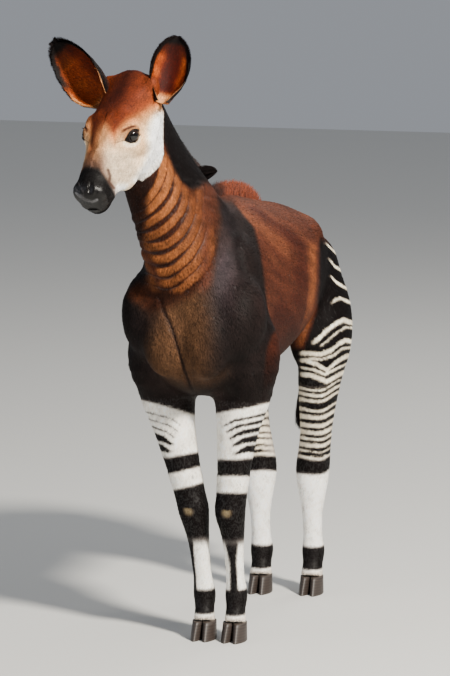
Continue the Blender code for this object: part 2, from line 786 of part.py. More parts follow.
def main():
    clear_scene()
    body = rounded_body()
    carve(body)
    nodes = part_body(thinned(body))
    for name, way in (("eye_left", 1), ("eye_right", -1)):
        nodes["head"] = open_eye(nodes["head"], way)
        nodes["head"] = open_nostril(nodes["head"], way)
        nodes[name] = make_eye(name, way)
    for name in EARS:
        nodes[name] = fitted(make_ear(name), nodes["head"])
    nodes["tail"] = fitted(make_tail(), nodes["torso"])
    rng = random.Random(7)
    nape = crest_locks(-0.225, -0.005, NAPE_LOCKS, rng, 0.75)
    nape += crest_locks(-0.005, 0.025, TUFT_LOCKS, rng, 2.2)
    nodes["neck"] = joined(nodes["neck"], nape)
    nodes["torso"] = joined(nodes["torso"], crest_locks(0.125, 0.345, BACK_LOCKS, rng, 0.8))
    nodes["tail"] = joined(nodes["tail"], tassel_locks(rng))
    for leg in LEGS:
        name = leg.replace("leg", "_hoof")
        x, y = leg_rows(leg)[-1][:2]
        nodes[name] = make_hoof(name, x, y)
    finish(nodes)
    centre(nodes)


main()
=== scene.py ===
"""The looks of a standing okapi calf: one skin, its markings, a coat of fine tufts, mane, tail and eyes."""

import math

import bmesh
import bpy
import numpy as np
from mathutils import Matrix, Vector


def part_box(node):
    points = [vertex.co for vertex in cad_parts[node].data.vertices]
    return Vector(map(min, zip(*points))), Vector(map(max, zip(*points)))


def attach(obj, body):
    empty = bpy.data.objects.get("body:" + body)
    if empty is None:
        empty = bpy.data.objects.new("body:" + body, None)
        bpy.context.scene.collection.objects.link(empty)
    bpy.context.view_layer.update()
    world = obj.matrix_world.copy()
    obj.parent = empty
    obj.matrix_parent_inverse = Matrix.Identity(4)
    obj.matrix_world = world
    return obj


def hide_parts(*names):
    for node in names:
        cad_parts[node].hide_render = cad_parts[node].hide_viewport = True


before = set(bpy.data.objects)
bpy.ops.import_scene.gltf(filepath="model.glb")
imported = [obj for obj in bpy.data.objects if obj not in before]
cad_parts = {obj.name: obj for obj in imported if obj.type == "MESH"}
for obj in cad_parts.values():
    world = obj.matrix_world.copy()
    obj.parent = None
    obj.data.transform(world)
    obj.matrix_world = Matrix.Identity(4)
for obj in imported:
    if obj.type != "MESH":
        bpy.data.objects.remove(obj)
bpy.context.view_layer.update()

# Fineness of the skin and depth of the coat, in metres
BODY_VOXEL = 0.0065
COAT_DEPTH = 0.0030
FACE_DEPTH = 0.0016
SEED = 11

# The torso: how far back, sideways centre, top, bottom and half width of each section
TORSO = (
    (-0.205, -0.046, 0.975, 0.800, 0.060),
    (-0.170, -0.046, 1.040, 0.725, 0.115),
    (-0.100, -0.046, 1.105, 0.672, 0.152),
    (0.000, -0.043, 1.160, 0.652, 0.162),
    (0.100, -0.040, 1.178, 0.650, 0.160),
    (0.230, -0.036, 1.160, 0.662, 0.163),
    (0.370, -0.031, 1.136, 0.688, 0.165),
    (0.500, -0.026, 1.117, 0.722, 0.156),
    (0.610, -0.022, 1.090, 0.765, 0.142),
    (0.710, -0.020, 1.040, 0.790, 0.122),
    (0.780, -0.020, 0.970, 0.800, 0.092),
    (0.825, -0.020, 0.900, 0.820, 0.050),
)

# The neck from inside the chest to the poll: centre, half width and half depth
NECK = (
    (-0.045, 0.030, 0.920, 0.130, 0.190),
    (-0.055, -0.035, 1.010, 0.122, 0.182),
    (-0.078, -0.105, 1.115, 0.106, 0.160),
    (-0.111, -0.170, 1.225, 0.090, 0.138),
    (-0.140, -0.225, 1.340, 0.078, 0.115),
    (-0.158, -0.265, 1.430, 0.070, 0.096),
    (-0.164, -0.300, 1.480, 0.054, 0.070),
)

# One leg of each kind from the top down: place back, height, half width and half length of each section
FORE_LEG = (
    (0.045, 0.860, 0.060, 0.100),
    (0.030, 0.760, 0.070, 0.100),
    (0.010, 0.670, 0.079, 0.088),
    (-0.008, 0.570, 0.058, 0.063),
    (-0.012, 0.470, 0.047, 0.050),
    (-0.013, 0.395, 0.042, 0.044),
    (-0.014, 0.350, 0.042, 0.046),
    (-0.002, 0.308, 0.036, 0.038),
    (0.008, 0.255, 0.029, 0.032),
    (0.014, 0.170, 0.0255, 0.029),
    (0.020, 0.118, 0.031, 0.037),
    (0.010, 0.082, 0.027, 0.030),
    (-0.003, 0.046, 0.031, 0.036),
)
HIND_LEG = (
    (0.660, 0.900, 0.040, 0.080),
    (0.680, 0.800, 0.066, 0.112),
    (0.668, 0.710, 0.070, 0.116),
    (0.665, 0.610, 0.060, 0.092),
    (0.680, 0.520, 0.050, 0.073),
    (0.700, 0.430, 0.044, 0.057),
    (0.710, 0.350, 0.048, 0.054),
    (0.700, 0.295, 0.042, 0.045),
    (0.695, 0.225, 0.030, 0.034),
    (0.693, 0.160, 0.028, 0.032),
    (0.695, 0.118, 0.033, 0.039),
    (0.685, 0.082, 0.029, 0.032),
    (0.672, 0.046, 0.033, 0.038),
)
# Each leg's sections, where its top, its knee or hock and its foot stand sideways, and its shift back
LEGS = {
    "foreleg_left": (FORE_LEG, 0.054, 0.027, 0.038, 0.000),
    "foreleg_right": (FORE_LEG, -0.150, -0.074, -0.044, 0.000),
    "hindleg_left": (HIND_LEG, 0.086, 0.048, 0.058, 0.000),
    "hindleg_right": (HIND_LEG, -0.136, -0.100, -0.084, -0.020),
}
LEG_SPAN = 0.300
KNEE_HEIGHT = 0.350
HOOF_LENGTH = 0.088
CLAW_WIDTH = 0.033

# The head's own frame: the poll, the way to the muzzle, and the way to the left
POLL = Vector((-0.158, -0.300, 1.533))
HEAD_ALONG = Vector((-0.108, -0.724, -0.680)).normalized()
HEAD_LEFT = Vector((0.971, -0.225, -0.020))
HEAD_LEFT = (HEAD_LEFT - HEAD_ALONG * HEAD_LEFT.dot(HEAD_ALONG)).normalized()
HEAD_UP = HEAD_ALONG.cross(HEAD_LEFT).normalized()
# Sections of the head: how far along, height of the middle, half width, half depth
HEAD = (
    (-0.025, -0.062, 0.050, 0.055),
    (0.010, -0.074, 0.069, 0.084),
    (0.060, -0.092, 0.077, 0.102),
    (0.110, -0.102, 0.080, 0.113),
    (0.155, -0.103, 0.079, 0.110),
    (0.200, -0.097, 0.070, 0.098),
    (0.250, -0.088, 0.057, 0.080),
    (0.300, -0.081, 0.048, 0.065),
    (0.345, -0.080, 0.046, 0.056),
    (0.375, -0.083, 0.042, 0.047),
    (0.393, -0.086, 0.029, 0.033),
)
EYE_ALONG = 0.180
EYE_SIDE = 0.057
EYE_UP = -0.047
EYE_RADIUS = 0.0200
MOUTH_RISE = 0.16
MOUTH_DROP = 0.112

# Ears: root on the head, direction to the tip, way that the cup faces, length and half width
EARS = {
    "ear_left": ((0.03, 0.087, -0.068), (0.12, 0.34, 0.93), (0.26, -0.94, 0.14), 0.186, 0.052),
    "ear_right": ((0.046, -0.062, -0.050), (-0.72, -0.05, 0.70), (-0.40, -0.90, 0.02), 0.212, 0.066),
}

# The crest under the mane, from the poll down the nape to the back
MANE = (
    (-0.158, -0.248, 1.490, 0.012, 0.018),
    (-0.142, -0.175, 1.425, 0.013, 0.026),
    (-0.118, -0.098, 1.328, 0.013, 0.028),
    (-0.086, -0.015, 1.238, 0.014, 0.028),
    (-0.054, 0.070, 1.182, 0.016, 0.026),
    (-0.040, 0.180, 1.172, 0.018, 0.026),
    (-0.036, 0.300, 1.155, 0.018, 0.020),
    (-0.032, 0.400, 1.122, 0.014, 0.012),
)

EAR_OUTLINE = (
    (0.0, 0.10, 0.22, 0.36, 0.52, 0.68, 0.82, 0.92, 0.98, 1.0),
    (0.34, 0.50, 0.76, 0.95, 1.0, 0.93, 0.74, 0.48, 0.22, 0.06),
)
EAR_BOW = 0.016

TAIL = (
    (-0.020, 0.740, 0.950, 0.022),
    (-0.020, 0.806, 0.930, 0.021),
    (-0.019, 0.850, 0.870, 0.017),
    (-0.017, 0.868, 0.780, 0.0135),
    (-0.015, 0.868, 0.690, 0.0115),
    (-0.014, 0.864, 0.610, 0.0120),
    (-0.013, 0.860, 0.560, 0.0130),
    (-0.013, 0.856, 0.500, 0.0080),
    (-0.013, 0.855, 0.470, 0.0030),
)

# How many tufts each part of the coat has
TUFTS = {
    "face": 62000, "crown": 40000, "neck": 60000, "chest": 60000,
    "flank": 60000, "rump": 50000, "legs": 62000,
}
# How many hairs the longer parts have, and the outline of a short tuft from root to tip
MANE_HAIRS = 6500
END_HAIRS = 700
END_LENGTH = 0.056
BACK_HAIRS = 9000
TAIL_HAIRS = 9000
TASSEL_HAIRS = 2600
EAR_HAIRS = 9000
FRINGE_HAIRS = 5200
SHORT_TUFT = (0.9, 1.0, 0.0)
# How thick the tail is under its hair, as a share of the solid's, and rows and columns of an ear
TAIL_CORE = 0.86
EAR_GRID = (46, 38)

# The camera: turn and height in degrees, distance, picture scale and the point that it looks at
TURN, HEIGHT, DISTANCE, SCALE = 17.0, 8.0, 12.0, 370.0
AIM = np.array([-0.08324, 0.300, 0.76412])
PICTURE = (450, 676)

# Power that deepens the colours a little
DEEPEN = 1.14
# Colours as seen in daylight
FLANK = (76, 42, 29)
BACK = (94, 55, 39)
DARK = (30, 23, 22)
BLACK = (17, 12, 12)
WHITE = (246, 241, 232)
CREAM = (220, 196, 166)
TAN = (150, 92, 54)
STRIPE = (240, 229, 208)
FOREHEAD = (100, 46, 25)
BREAST = (92, 66, 46)
RUSSET_SHEEN = (118, 72, 48)
RED_SHADE = (52, 25, 17)
BELLY = (34, 18, 15)
ELBOW_SHADE = (26, 16, 14)
BORDER_HIGHLIGHT = (150, 92, 70)
SOFT_BLACK = (56, 42, 40)
SHEEN = (66, 57, 62)
GROOVE_SHADE = (30, 20, 18)
NECK_BROWN = (78, 42, 28)
FOLD_GROOVE_SHADE = (50, 25, 15)
FOLD_RIDGE_HIGHLIGHT = (146, 92, 54)
FOLD_PALE = (96, 56, 34)
NECK_SHADE = (40, 23, 17)
THROAT = (24, 16, 14)
NAPE_BROWN = (80, 46, 34)
NECK_CREASE_SHADE = (20, 14, 15)
CHEEK_TAN = (196, 150, 104)
CHEEK_GREY_SHADE = (186, 172, 152)
CHEEK_SHADE = (170, 150, 128)
CHEEK_WHITE = (250, 250, 248)
JAW_BLUE_SHADE = (226, 230, 236)
JAW_BELOW = (214, 208, 200)
BROW_EDGE = (186, 118, 68)
BRIDGE = (158, 112, 76)
BRIDGE_DARK = (104, 76, 60)
POLL_DARK = (48, 20, 14)
BROW_WARM = (122, 60, 30)
LID_PALE = (232, 214, 190)
LID_BROWN = (150, 104, 70)
LID_DARK = (24, 18, 18)
LID_FOLD_SHADE = (70, 38, 26)
MUZZLE_EDGE = (70, 52, 46)
MUZZLE = (14, 11, 11)
LIP_HIGHLIGHT = (150, 150, 154)
NOSTRIL_RIM_HIGHLIGHT = (74, 70, 72)
NOSTRIL_HOLE_SHADE = (4, 3, 4)
MOUTH_SHADE = (60, 42, 36)
CHIN = (214, 186, 150)
# Colours of the longer hair
HAIR_DARK = (34, 24, 22)
END_DARK = (24, 18, 18)
RIDGE_DARK = (52, 30, 24)
TAIL_BROWN = (84, 42, 30)
TAIL_HAIR = (96, 48, 32)
FRINGE_PALE = (176, 128, 88)

# Stripes of the thigh on a side view turned by TURN and HEIGHT: places across, places down, half thickness
PALE_LINES = (
    ((325, 331, 337, 344), (243, 249, 256, 264), 1.2),
    ((328, 334, 341, 348), (258, 266, 271, 280), 1.4),
    ((330, 336, 345, 352), (276, 282, 288, 292), 1.5),
    ((331, 335, 340, 348, 354), (303, 299, 298, 302, 305), 1.5),
    ((312, 317, 325, 335, 343, 352), (343, 340, 332, 324, 320, 323), 2.3),
    ((320, 327, 337, 345, 353), (346, 341, 332, 327, 328), 0.9),
    ((300, 306, 321, 331, 339, 345, 353), (353, 353, 354, 350, 343, 340, 342), 2.0),
    ((308, 322, 333, 342, 352), (358, 359, 355, 348, 347), 1.0),
    ((300, 306, 317, 327, 335, 345, 353), (360, 360, 364, 370, 362, 356, 355), 2.1),
    ((300, 313, 325, 335, 350), (367, 369, 374, 369, 362), 1.3),
    ((300, 311, 327, 340, 350), (374, 375, 381, 374, 370), 2.3),
)
# Lines across the hind legs, then the forelegs: places down, half thickness
DARK_LINES = (
    (385, 1.1), (390, 0.9), (396, 0.9), (404, 2.5), (412, 1.2), (420, 1.4),
    (427.5, 1.0), (434.5, 1.0), (440, 1.0), (447, 1.2), (452.5, 1.5),
)
FORE_LINES = ((425, 1.3), (431.5, 1.6), (438, 1.9), (444, 2.0), (450, 2.2))
# Folds of the neck on the same view, as the middles of their ridges
FOLDS = (
    ((162, 150), (163, 168), (158, 184), (150, 196), (142, 206)),
    ((168, 158), (170, 175), (165, 190), (155, 204), (143, 214), (134, 218)),
    ((177, 168), (177, 190), (168, 208), (152, 221), (138, 228)),
    ((185, 182), (184, 204), (173, 221), (160, 232), (146, 237), (136, 236)),
    ((193, 190), (191, 214), (181, 232), (166, 244), (150, 247), (138, 242)),
    ((200, 196), (198, 220), (189, 240), (175, 253), (160, 259), (145, 256), (137, 250)),
    ((207, 200), (204, 226), (194, 249), (179, 265), (163, 272), (149, 268), (139, 260)),
    ((211, 212), (208, 242), (197, 261), (182, 275), (168, 283), (153, 280), (141, 272)),
    ((214, 238), (208, 257), (202, 270), (190, 281), (177, 291), (161, 293), (147, 285)),
    ((200, 184), (200, 200), (197, 214)),
)
# The groove down the middle of the breast, on the same view
GROOVE = ((155, 290), (163, 308), (172, 328), (184, 368), (192, 390), (198, 408))
# The middle of a nostril in the head's own places, and its slit on the side view
NOSTRIL_AT = (0.378, 0.022, -0.034)
NOSTRIL_LINE = ((86, 193), (88, 190), (92, 188), (96, 185))
# The long way of an eye's opening: along the head, to the side and up
EYE_LONG = (0.718, -0.649, 0.252)
# The painted highlight on the wet lip, the crease by the corner of the mouth, and raised or sunk lines of
# the cheek: path, width, rise
WET_LIP_HIGHLIGHT = ((76, 193), (80, 196), (86, 200), (92, 202), (97, 200))
MOUTH_CREASE = ((108, 170), (110, 176), (109, 182), (114, 188))
CHEEKS = (
    (((124, 150), (134, 151), (145, 146), (154, 136)), 4.0, 0.0036),
    (((122, 158), (134, 160), (147, 156), (157, 146)), 3.0, -0.0026),
    (((113, 112), (122, 118), (133, 119), (145, 115)), 4.0, 0.0034),
    (((118, 178), (128, 172), (138, 162), (146, 152)), 3.5, -0.0030),
    (((96, 150), (104, 148), (111, 142), (116, 132)), 3.5, -0.0026),
)
# How far the ridge of the back lies below the solid's, under its hair, and how streaks lie
CREST_DROP = 0.026
STREAKS = np.array([[1.0, 0.0, 0.0], [0.0, 0.25, 0.30], [0.0, 0.10, 1.0]])
# Grain size and strength, roughness, bump, specular and clear coat of each look
LOOKS = {
    "hide": (420.0, 0.25, 0.62, 0.25, 0.25, 0.0),
    "short coat": (260.0, 0.20, 0.60, 0.0, 0.07, 0.0),
    "long hair": (300.0, 0.20, 0.60, 0.0, 0.08, 0.0),
    "eye": (90.0, 0.0, 0.10, 0.0, 0.35, 0.25),
}
WET_ROUGHNESS = 0.33
HORN_TONES = (0.022, 0.016, 0.014, 1), (0.036, 0.026, 0.021, 1)
# The floor, the sky with its strength, and the lamps: place, size, power and colour
FLOOR_TONE = (0.60, 0.60, 0.58, 1)
SKY = (0.86, 0.91, 1.0, 1), 0.34
LAMPS = (
    ("key", (4.4, -3.2, 4.8), 0.9, 1300, (1.0, 0.94, 0.84)),
    ("fill", (-5.0, -4.5, 2.4), 4.0, 85, (0.88, 0.93, 1.0)),
    ("rim", (1.5, 5.0, 4.8), 3.0, 130, (1.0, 0.97, 0.92)),
)
SENSOR = 36
# The height and place back at which each half of the skin ends; they overlap
FRONT_FROM = (0.965, 0.03)
BODY_FROM = (0.985, 0.0)
# How far back and how high the roots of the skin's two halves meet
HALVES_MEET = (0.015, 0.98)
# How much lower the crown and how much shorter the muzzle are than the solid ones
CROWN_DROP = 0.008
MUZZLE_TRIM = 0.008


def curve_points(rows, steps):
    """Catmull-Rom points through the rows of numbers, with this many steps between two of them."""
    rows = np.array(rows, float)
    padded = np.vstack([2 * rows[0] - rows[1], rows, 2 * rows[-1] - rows[-2]])
    found = []
    for i in range(len(rows) - 1):
        a, b, c, d = padded[i : i + 4]
        for step in range(steps):
            t = step / steps
            curve = (2 * a - 5 * b + 4 * c - d) * t**2 + (3 * b - a - 3 * c + d) * t**3
            found.append(0.5 * (2 * b + (c - a) * t + curve))
    found.append(rows[-1])
    return np.array(found)


def loft(bm, rings):
    """Bridges closed rings of points, all of one count, and caps both ends."""
    verts = [[bm.verts.new(p) for p in ring] for ring in rings]
    count = len(verts[0])
    for lower, upper in zip(verts, verts[1:]):
        for i in range(count):
            j = (i + 1) % count
            bm.faces.new((lower[i], lower[j], upper[j], upper[i]))
    bm.faces.new(verts[0][::-1])
    bm.faces.new(verts[-1])


def oval(centre, side, deep, half_side, half_deep, count=28, square=1.0):
    """A ring round the centre. A square under 1 makes the oval fuller."""
    ring = []
    for i in range(count):
        angle = 2 * math.pi * i / count
        c, s = math.cos(angle), math.sin(angle)
        across = math.copysign(abs(c) ** square, c) * half_side
        away = math.copysign(abs(s) ** square, s) * half_deep
        ring.append(Vector(centre) + Vector(side) * across + Vector(deep) * away)
    return ring


def limb(bm, rows, side=(1, 0, 0), steps=3, count=28):
    """A tube through rows of x, y, z, half width and half depth, each ring square to the path."""
    rows = curve_points(rows, steps)
    rings = []
    for i, row in enumerate(rows):
        ahead = Vector(rows[min(i + 1, len(rows) - 1)][:3])
        behind = Vector(rows[max(i - 1, 0)][:3])
        path = (ahead - behind).normalized()
        across = (Vector(side) - path * path.dot(Vector(side))).normalized()
        rings.append(oval(row[:3], across, path.cross(across), row[3], row[4], count, 0.92))
    loft(bm, rings)


def ball(bm, centre, radii, turn=None):
    """A smooth swelling: a sphere stretched to the radii and turned by the angles in degrees."""
    angles = [math.radians(a) for a in (turn or (0, 0, 0))]
    place = Matrix.Translation(centre)
    for angle, axis in zip(angles, "XYZ"):
        place = place @ Matrix.Rotation(angle, 4, axis)
    place = place @ Matrix.Diagonal((*radii, 1))
    bmesh.ops.create_icosphere(bm, subdivisions=4, radius=1, matrix=place)


def leg_rows(name):
    rows, top_x, knee_x, foot_x, shift = LEGS[name]
    found = []
    for y, z, half_wide, half_long in rows:
        rise = min(1.2, (z - KNEE_HEIGHT) / LEG_SPAN)
        end_x = top_x if rise > 0 else foot_x
        x = knee_x + (end_x - knee_x) * (rise if rise > 0 else 1 - z / KNEE_HEIGHT)
        found.append((x, y + shift, z, half_wide, half_long))
    return found


def on_head(along, left, up):
    return POLL + HEAD_ALONG * along + HEAD_LEFT * left + HEAD_UP * up


def add_torso(bm):
    rows = curve_points(TORSO, 4)
    rings = []
    for y, x, top, bottom, half in rows:
        middle = (top + bottom) / 2
        rings.append(oval((x, y, middle), (1, 0, 0), (0, 0, 1), half, (top - bottom) / 2, 40, 0.93))
    loft(bm, rings)
    for way in (1, -1):
        x = -0.045
        # shoulder blade, point of the shoulder, upper arm and breast
        ball(bm, (x + way * 0.098, -0.020, 0.950), (0.062, 0.105, 0.150), (18, 0, 0))
        ball(bm, (x + way * 0.119, -0.100, 0.880), (0.077, 0.095, 0.120), (0, 0, 0))
        ball(bm, (x + way * 0.126, -0.015, 0.765), (0.080, 0.108, 0.130), (0, 0, 0))
        ball(bm, (x + way * 0.055, -0.165, 0.830), (0.068, 0.060, 0.110), (0, 0, 0))
        # hip, thigh and buttock
        x = -0.020
        ball(bm, (x + way * 0.070, 0.560, 1.000), (0.070, 0.085, 0.082), (0, 0, 0))
        ball(bm, (x + way * 0.076, 0.680, 0.868), (0.074, 0.126, 0.145), (0, 0, 0))
        ball(bm, (x + way * 0.078, 0.755, 0.785), (0.066, 0.085, 0.125), (-8, 0, 0))
        ball(bm, (x + way * 0.090, 0.605, 0.735), (0.060, 0.078, 0.105), (12, 0, 0))


def add_hock(bm, name):
    """The point of the hock, which stands out behind the leg."""
    rows, _, knee_x, _, shift = LEGS[name]
    if rows is HIND_LEG:
        ball(bm, (knee_x, 0.745 + shift, 0.372), (0.020, 0.024, 0.036), (-12, 0, 0))
        ball(bm, (knee_x, 0.738 + shift, 0.440), (0.017, 0.018, 0.080), (-8, 0, 0))


def add_head(bm):
    rings = []
    for along, middle, half_wide, half_deep in curve_points(HEAD, 4):
        rings.append(oval(on_head(along, 0, middle), HEAD_LEFT, HEAD_UP, half_wide, half_deep, 32, 0.90))
    loft(bm, rings)
    axes = Matrix((HEAD_LEFT, HEAD_ALONG, HEAD_UP)).transposed().to_4x4()

    def lump(along, left, up, wide, long, deep):
        place = Matrix.Translation(on_head(along, left, up)) @ axes @ Matrix.Diagonal((wide, long, deep, 1))
        bmesh.ops.create_icosphere(bm, subdivisions=4, radius=1, matrix=place)

    lump(0.055, 0, -0.020, 0.062, 0.070, 0.028)
    lump(0.370, 0, -0.058, 0.040, 0.031, 0.034)
    lump(0.350, 0, -0.122, 0.031, 0.040, 0.022)
    for way in (1, -1):
        lump(0.022, way * 0.054, -0.034, 0.030, 0.036, 0.034)
        lump(EYE_ALONG - 0.008, way * 0.050, -0.036, 0.026, 0.052, 0.026)
        lump(EYE_ALONG + 0.006, way * 0.050, -0.076, 0.022, 0.050, 0.022)
        lump(0.105, way * 0.042, -0.155, 0.036, 0.080, 0.058)
        lump(0.210, way * 0.034, -0.130, 0.028, 0.085, 0.042)
        lump(0.366, way * 0.026, -0.066, 0.023, 0.029, 0.030)
        lump(0.344, way * 0.031, -0.100, 0.018, 0.034, 0.018)


def new_object(name, bm):
    mesh = bpy.data.meshes.new(name)
    bm.to_mesh(mesh)
    bm.free()
    obj = bpy.data.objects.new(name, mesh)
    bpy.context.scene.collection.objects.link(obj)
    return obj


def applied(obj):
    """The object's mesh with its modifiers, which are then removed."""
    graph = bpy.context.evaluated_depsgraph_get()
    graph.update()
    mesh = bpy.data.meshes.new_from_object(obj.evaluated_get(graph))
    old = obj.data
    obj.modifiers.clear()
    obj.data = mesh
    bpy.data.meshes.remove(old)
    return obj


def eye_way(way):
    """The direction in which an eye looks: sideways, a little forward and up."""
    return (HEAD_LEFT * way * 0.70 + HEAD_ALONG * 0.52 + HEAD_UP * 0.32).normalized()


def linear(colour):
    """A daylight colour of 0 to 255, deepened a little, as the linear numbers that a shader reads."""
    c = (np.asarray(colour, float) / 255) ** DEEPEN
    return np.where(c < 0.04045, c / 12.92, ((c + 0.055) / 1.055) ** 2.4)


def step(low, high, value):
    """Rises smoothly from 0 at low to 1 at high. It falls where low is above high."""
    t = np.clip((value - low) / (high - low), 0, 1)
    return t * t * (3 - 2 * t)


def lay(base, colour, mask):
    """The base with the colour over it where the mask is 1."""
    mask = np.clip(mask, 0, 1)[:, None]
    return base * (1 - mask) + np.asarray(colour, float) * mask


class Layers:
    """The colours of some points, on which further colours are laid through masks."""

    def __init__(self, colour, count):
        self.now = flat(colour, count)

    def __call__(self, colour, mask):
        self.now = lay(self.now, colour, mask)


def flat(values, count):
    """The same three numbers for each of the points."""
    return np.tile(np.array(values, float), (count, 1))


def unit(ways, least=1e-9):
    """The directions, each of length 1."""
    return ways / np.maximum(np.linalg.norm(ways, axis=-1), least)[..., None]


def ripple(points, size, seed):
    """Soft irregular waves between about -1 and 1, of this size in metres."""
    rng = np.random.default_rng(seed)
    total = np.zeros(len(points))
    for _ in range(5):
        way = rng.normal(size=3)
        way /= np.linalg.norm(way) * size * rng.uniform(0.7, 1.5)
        turn = rng.normal(size=3)
        turn /= np.linalg.norm(turn) * size * rng.uniform(0.8, 1.8)
        total += np.sin(points @ way * 2 + 1.6 * np.sin(points @ turn) + rng.uniform(0, 6))
    return total / 3


def view_axes():
    turn, height = math.radians(TURN), math.radians(HEIGHT)
    right = np.array([math.cos(turn), math.sin(turn), 0.0])
    ahead = np.array([-math.sin(turn) * math.cos(height), math.cos(turn) * math.cos(height),
        -math.sin(height)])
    return right, ahead, np.cross(right, ahead)


def side_view(points):
    """Places across and down on the fixed side view in which the markings are laid out."""
    right, ahead, up = view_axes()
    away = points - AIM
    scale = DISTANCE * SCALE / (DISTANCE + away @ ahead)
    return PICTURE[0] / 2 + scale * (away @ right), PICTURE[1] / 2 - scale * (away @ up)


def head_places(points):
    away = points - np.array(POLL)
    return away @ np.array(HEAD_ALONG), away @ np.array(HEAD_LEFT), away @ np.array(HEAD_UP)


def neck_middle(height, k):
    """Number k of the neck's middle at a height: 0 for sideways, 1 for back."""
    rows = NECK[:-1]
    return np.interp(height, [row[2] for row in rows], [row[k] for row in rows])


def leg_middle(name, height):
    """Where the middle of a leg is at a height, sideways and back."""
    rows = np.array(leg_rows(name)[::-1])
    return np.interp(height, rows[:, 2], rows[:, 0]), np.interp(height, rows[:, 2], rows[:, 1])


def left_twin(points):
    """The points with those of the right side mirrored to the left, about each part's own middle."""
    made = points.copy()
    middle = np.interp(points[:, 1], [row[0] for row in TORSO], [row[1] for row in TORSO])
    neck = neck_middle(points[:, 2], 0)
    share = step(0.02, -0.20, points[:, 1]) * step(0.98, 1.12, points[:, 2])
    middle = middle * (1 - share) + neck * share
    legs = points[:, 2] < 0.66
    hind = points[:, 1] >= 0.25
    for kind, part in (("foreleg", ~hind), ("hindleg", hind)):
        left, right = (leg_middle(kind + end, points[:, 2])[0] for end in ("_left", "_right"))
        middle = np.where(legs & part, (left + right) / 2, middle)
    made[:, 0] = np.where(points[:, 0] < middle, 2 * middle - points[:, 0], points[:, 0])
    along, left, up = head_places(points)
    head = in_head(points)
    flip = head & (left < 0)
    made[flip] = points[flip] - 2 * left[flip, None] * np.array(HEAD_LEFT)
    return made


def in_head(points):
    """True in front of the cut between head and neck."""
    side = (points - np.array([0.0, -0.315, 1.385])) @ np.array([-0.10, -0.855, 0.509])
    return (side > 0) & (points[:, 2] > 1.1)


def path_distance(across, down, path):
    """Distance from a line of joined places, and how far along it the nearest one is, from 0 to 1."""
    best = np.full(len(across), 1e9)
    place = np.zeros(len(across))
    count = len(path) - 1
    for k in range(count):
        (x0, y0), (x1, y1) = path[k], path[k + 1]
        dx, dy = x1 - x0, y1 - y0
        t = np.clip(((across - x0) * dx + (down - y0) * dy) / (dx * dx + dy * dy), 0, 1)
        far = np.hypot(across - x0 - t * dx, down - y0 - t * dy)
        near = far < best
        best = np.where(near, far, best)
        place = np.where(near, (k + t) / count, place)
    return best, place


def smooth_path(path):
    return [tuple(p) for p in curve_points(path, 4)]


FINE_FOLDS = [smooth_path(path) for path in FOLDS]


def shown(points):
    """1 where the side view shows the neck and chest, 0 on their far side."""
    x, y, z = points.T
    angle = np.arctan2(x - neck_middle(z, 0), neck_middle(z, 1) - y)
    return step(0.05, 0.40, np.cos(angle - math.radians(TURN)))


def fold_height(points):
    """1 on the ridge of a neck fold, 0 away from it, less where the fold fades out."""
    share = shown(points)
    return share * folds_at(points, points) + (1 - share) * folds_at(points, left_twin(points))


def folds_at(points, places):
    across, down = side_view(places)
    height = np.zeros(len(points))
    on_neck = step(0.935, 0.975, points[:, 2]) * step(0.06, 0.0, points[:, 1]) * (~in_head(points))
    for path in FINE_FOLDS:
        far, place = path_distance(across, down, path)
        fade = step(-0.02, 0.15, place) * step(1.03, 0.88, place) * 0.6 + 0.4
        height = np.maximum(height, np.exp(-((far / 4.1) ** 4)) * fade)
    return height * on_neck


def fold_zone(points):
    share = shown(points)
    return share * zone_at(points, points) + (1 - share) * zone_at(points, left_twin(points))


def zone_at(points, places):
    across, down = side_view(places)
    top = np.interp(across, (120, 150, 165, 180, 200, 215), (190, 178, 150, 165, 176, 190))
    low = np.interp(across, (120, 150, 165, 190, 214, 222), (290, 312, 308, 296, 262, 230))
    return (
        step(top - 6, top + 6, down) * step(low + 8, low - 8, down) * step(224, 208, across)
        * (~in_head(points))
    )


def groove_at(points):
    """1 in the groove down the middle of the breast."""
    across, down = side_view(points)
    far, place = path_distance(across, down, GROOVE)
    return (
        np.exp(-((far / 1.7) ** 2)) * step(0.0, 0.12, place) * step(1.0, 0.9, place)
        * (points[:, 1] < -0.03)
    )


